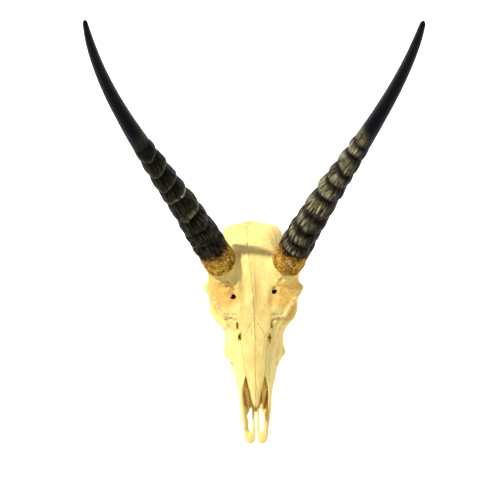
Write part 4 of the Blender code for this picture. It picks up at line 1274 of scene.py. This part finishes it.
def ringed_horn():
    """Horn keratin: near black, low shine, streaked and rubbed greyish with painted highlights on the rings,
    painted shade in the grooves, crusty at the foot.
    """
    made, tree, shader = new_material("horn keratin, ringed, low sheen")
    where = add(tree, "TexCoord", {}, "Object")
    along = add(tree, "Attribute", {}, "Vector", attribute_name="grain_way")
    up = add(tree, "Attribute", {}, "Fac", attribute_name="up")

    # smooth upper part to streaked ringed part
    uneven = add(tree, "Math", {0: cloud(tree, where, 14, 0, 1), 1: 40.0, 2: up}, operation="MULTIPLY_ADD")
    span = {"Value": uneven, "From Min": 220.0, "From Max": 150.0}
    ringed = add(tree, "MapRange", span, interpolation_type="SMOOTHSTEP")
    # growth fibres: 0.5 mm apart in life, drawn at 1.5 mm so that they show from a step away
    streak = cloud(tree, along, 1.5, 0.38, 0.62, 1, 3, 0.6, unit=1.0)
    base = add(tree, "Mix", {0: ringed, 6: paint("#020309"), 7: paint("#080703")}, 2, data_type="RGBA")
    colour = lay(tree, base, "#3A3218", streak, ringed)
    colour = lay(tree, colour, "#464028", ringed, cloud(tree, where, 3.2, 0.52, 0.66, 0.8, 5, 0.75))
    colour = lay(tree, colour, "#050402", ringed, cloud(tree, where, 2.4, 0.47, 0.36, 0.8, 5, 0.75))

    # rubbed crests: pale wear mixed with painted highlights where the light falls, brightest in painted
    # glints; the grooves under them are painted black as shade
    patchy = cloud(tree, where, 9, 0.22, 0.55, 1, 4)
    colour = lay(tree, colour, "#4A442E", mark(tree, "wear_and_highlight", 0.05, 0.6, 0.85), patchy)
    colour = lay(tree, colour, "#A89D76", mark(tree, "wear_and_highlight", 0.25, 0.9, 0.95), streak, patchy)
    # painted glints: pale flecks on the crests that stand in for highlights
    painted_glints = cloud(tree, along, 2.6, 0.5, 0.66, 1, 3, 0.6, unit=1.0)
    colour = lay(tree, colour, "#EAE0BC", mark(tree, "wear_and_highlight", 0.5, 1.0, 0.95), streak, painted_glints)
    between = cloud(tree, along, 1.6, 0.53, 0.42, 0.95, 3, 0.6, unit=1.0)
    colour = lay(tree, colour, "#040302", between, ringed)
    # painted shade: the grooves under the crests are painted black
    colour = lay(tree, colour, "#020202", mark(tree, "raised", -0.9, -2.6, 0.97))

    # the collar's dried crust: gold and brown crumbs and fibres, darker towards its ragged upper edge
    edge = cloud(tree, where, 5, 0, 1, 1, 6, 0.75)
    edge = add(tree, "Math", {0: edge, 1: 22.0, 2: up}, operation="MULTIPLY_ADD")
    span = {"Value": edge, "From Min": 34.5, "From Max": 33.0}
    collar = add(tree, "MapRange", span, interpolation_type="SMOOTHSTEP")
    span = {"Value": edge, "From Min": 34.0, "From Max": 24.0}
    below = add(tree, "MapRange", span, interpolation_type="SMOOTHSTEP")
    span = {"Value": up, "From Min": 6.0, "From Max": 10.0}
    lower = add(tree, "MapRange", span, interpolation_type="SMOOTHSTEP")
    strands = cloud(tree, along, 2.0, 0.42, 0.6, 1, 4, 0.65, unit=1.0)
    crust = lay(tree, paint("#6E4518"), "#B27A22", below)
    crust = lay(tree, crust, "#EDB944", below, cloud(tree, where, 7, 0.44, 0.54, 0.95, 6, 0.75))
    crust = lay(tree, crust, "#FBE096", below, lower, cloud(tree, where, 6, 0.52, 0.6, 0.9, 6, 0.8))
    crust = lay(tree, crust, "#5A3812", strands, cloud(tree, where, 6, 0.46, 0.56, 0.75, 5, 0.7))
    crust = lay(tree, crust, "#1C1206", cloud(tree, where, 3.6, 0.47, 0.4, 0.95, 6, 0.8))
    colour = add(tree, "Mix", {0: collar, 6: colour, 7: crust}, 2, data_type="RGBA")
    tree.links.new(colour, shader.inputs["Base Color"])

    fibres = add(tree, "Math", {0: streak, 1: ringed}, operation="MULTIPLY")
    lumps = cloud(tree, where, 2.6, 0.2, 0.8, 1, 5, 0.7)
    lumps = add(tree, "Math", {0: lumps, 1: collar}, operation="MULTIPLY")
    relief(tree, shader, 0.9, (cloud(tree, where, 1.2, 0, 1), 0.25), (fibres, 0.8), (lumps, 1.9))
    shader.inputs["IOR"].default_value = 1.25
    shader.inputs["Specular IOR Level"].default_value = 0.25
    rough = add(tree, "MapRange", {"Value": collar, "To Min": 0.42, "To Max": 0.8})
    tree.links.new(rough, shader.inputs["Roughness"])
    return made


def worn_enamel():
    """Tooth enamel: glossy and ivory on the walls, with brown stain in its grooves and on the worn face."""
    made, tree, shader = new_material("tooth enamel, worn and stained")
    where = add(tree, "TexCoord", {}, "Object")
    colour = lay(tree, paint("#F1E6C0"), "#D9C18A", cloud(tree, where, 4, 0.4, 0.7))
    colour = lay(tree, colour, "#7A5526", mark(tree, "worn", 0.15, 0.7, 0.85))
    colour = lay(tree, colour, "#6B4A20", mark(tree, "bend", -0.05, -0.5, 0.7))
    high = add(tree, "SeparateXYZ", {0: where}, 2)
    gum = add(tree, "Math", {0: cloud(tree, where, 3, 0, 1), 1: 4 * MM, 2: high}, operation="MULTIPLY_ADD")
    span = {"Value": gum, "From Min": 7 * MM, "From Max": 11 * MM}
    gum = add(tree, "MapRange", span, interpolation_type="SMOOTHSTEP")
    colour = lay(tree, colour, "#9C7434", gum, 0.8)
    tree.links.new(colour, shader.inputs["Base Color"])
    relief(tree, shader, 0.7, (cloud(tree, where, 0.8, 0, 1), 0.12))
    rough = add(tree, "MapRange", {"Value": mark(tree, "worn", 0.1, 0.6), "To Min": 0.24, "To Max": 0.5})
    tree.links.new(rough, shader.inputs["Roughness"])
    return made


def dress(obj, material, node, sharp_deg=60):
    obj.data.materials.clear()
    obj.data.materials.append(material)
    obj.data.shade_smooth()
    obj.data.set_sharp_from_angle(angle=math.radians(sharp_deg))
    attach(obj, "root")
    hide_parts(node)


def make_floor():
    mesh = bpy.data.meshes.new("floor")
    half = FLOOR_HALF
    corners = [(-half, -half, 0), (half, -half, 0), (half, half, 0), (-half, half, 0)]
    mesh.from_pydata(corners, [], [(0, 1, 2, 3)])
    obj = bpy.data.objects.new("floor", mesh)
    bpy.context.scene.collection.objects.link(obj)
    made, _, shader = new_material("light table, opal acrylic, matt")
    shader.inputs["Base Color"].default_value = (0.8, 0.8, 0.8, 1.0)
    shader.inputs["Roughness"].default_value = 0.9
    shader.inputs["Emission Color"].default_value = (1.0, 1.0, 1.0, 1.0)
    shader.inputs["Emission Strength"].default_value = FLOOR_GLOW
    mesh.materials.append(made)


def area_light(name, way, away, size, power):
    """A square lamp in that direction from the object, facing it."""
    aim = Vector(LAMP_AIM)
    lamp = bpy.data.lights.new(name, "AREA")
    lamp.size = size
    lamp.energy = power
    obj = bpy.data.objects.new(name, lamp)
    bpy.context.scene.collection.objects.link(obj)
    obj.location = aim + Vector(way).normalized() * away
    obj.rotation_euler = (aim - obj.location).to_track_quat("-Z", "Y").to_euler()


def make_studio():
    """A white table under one light from the upper left, as in the photograph, and a weak one opposite."""
    make_floor()
    area_light("key", KEY_WAY, KEY_AWAY, KEY_SIZE, KEY_POWER)
    area_light("fill", FILL_WAY, FILL_AWAY, FILL_SIZE, FILL_POWER)
    world = bpy.data.worlds.new("studio")
    bpy.context.scene.world = world
    world.use_nodes = True
    back = world.node_tree.nodes["Background"]
    back.inputs["Color"].default_value = (1, 1, 1, 1)
    back.inputs["Strength"].default_value = WORLD_STRENGTH
    bpy.context.scene.view_settings.view_transform = "Standard"


def make_camera():
    """Looks down steeply from the snout's end, as the photograph does."""
    lens = bpy.data.cameras.new("camera")
    lens.lens = CAMERA_LENS
    lens.sensor_width = CAMERA_SENSOR
    obj = bpy.data.objects.new("camera", lens)
    bpy.context.scene.collection.objects.link(obj)
    obj.location = CAMERA_PLACE
    obj.rotation_euler = (math.radians(CAMERA_TILT_DEG), 0, 0)
    bpy.context.scene.camera = obj


def main():
    make_camera()
    skull = make_skull()
    split_snout(skull)
    cut_sockets(skull)
    flatten_rear_feet(skull)
    teeth = make_teeth()
    for obj in (skull, *teeth.values()):
        lean_snout(obj)
    seat_horns(skull)
    drop_scraps(skull)
    horns = {name: make_horn(name) for name in HORN_CURVES}
    mark_bone(skull)
    for obj in (skull, *teeth.values(), *horns.values()):
        place(obj)

    dress(skull, aged_bone(), "skull")
    enamel = worn_enamel()
    for name, obj in teeth.items():
        dress(obj, enamel, name)
    keratin = ringed_horn()
    for name, obj in horns.items():
        obj.name = f"sheath_{name}"
        dress(obj, keratin, name)
    make_studio()


main()
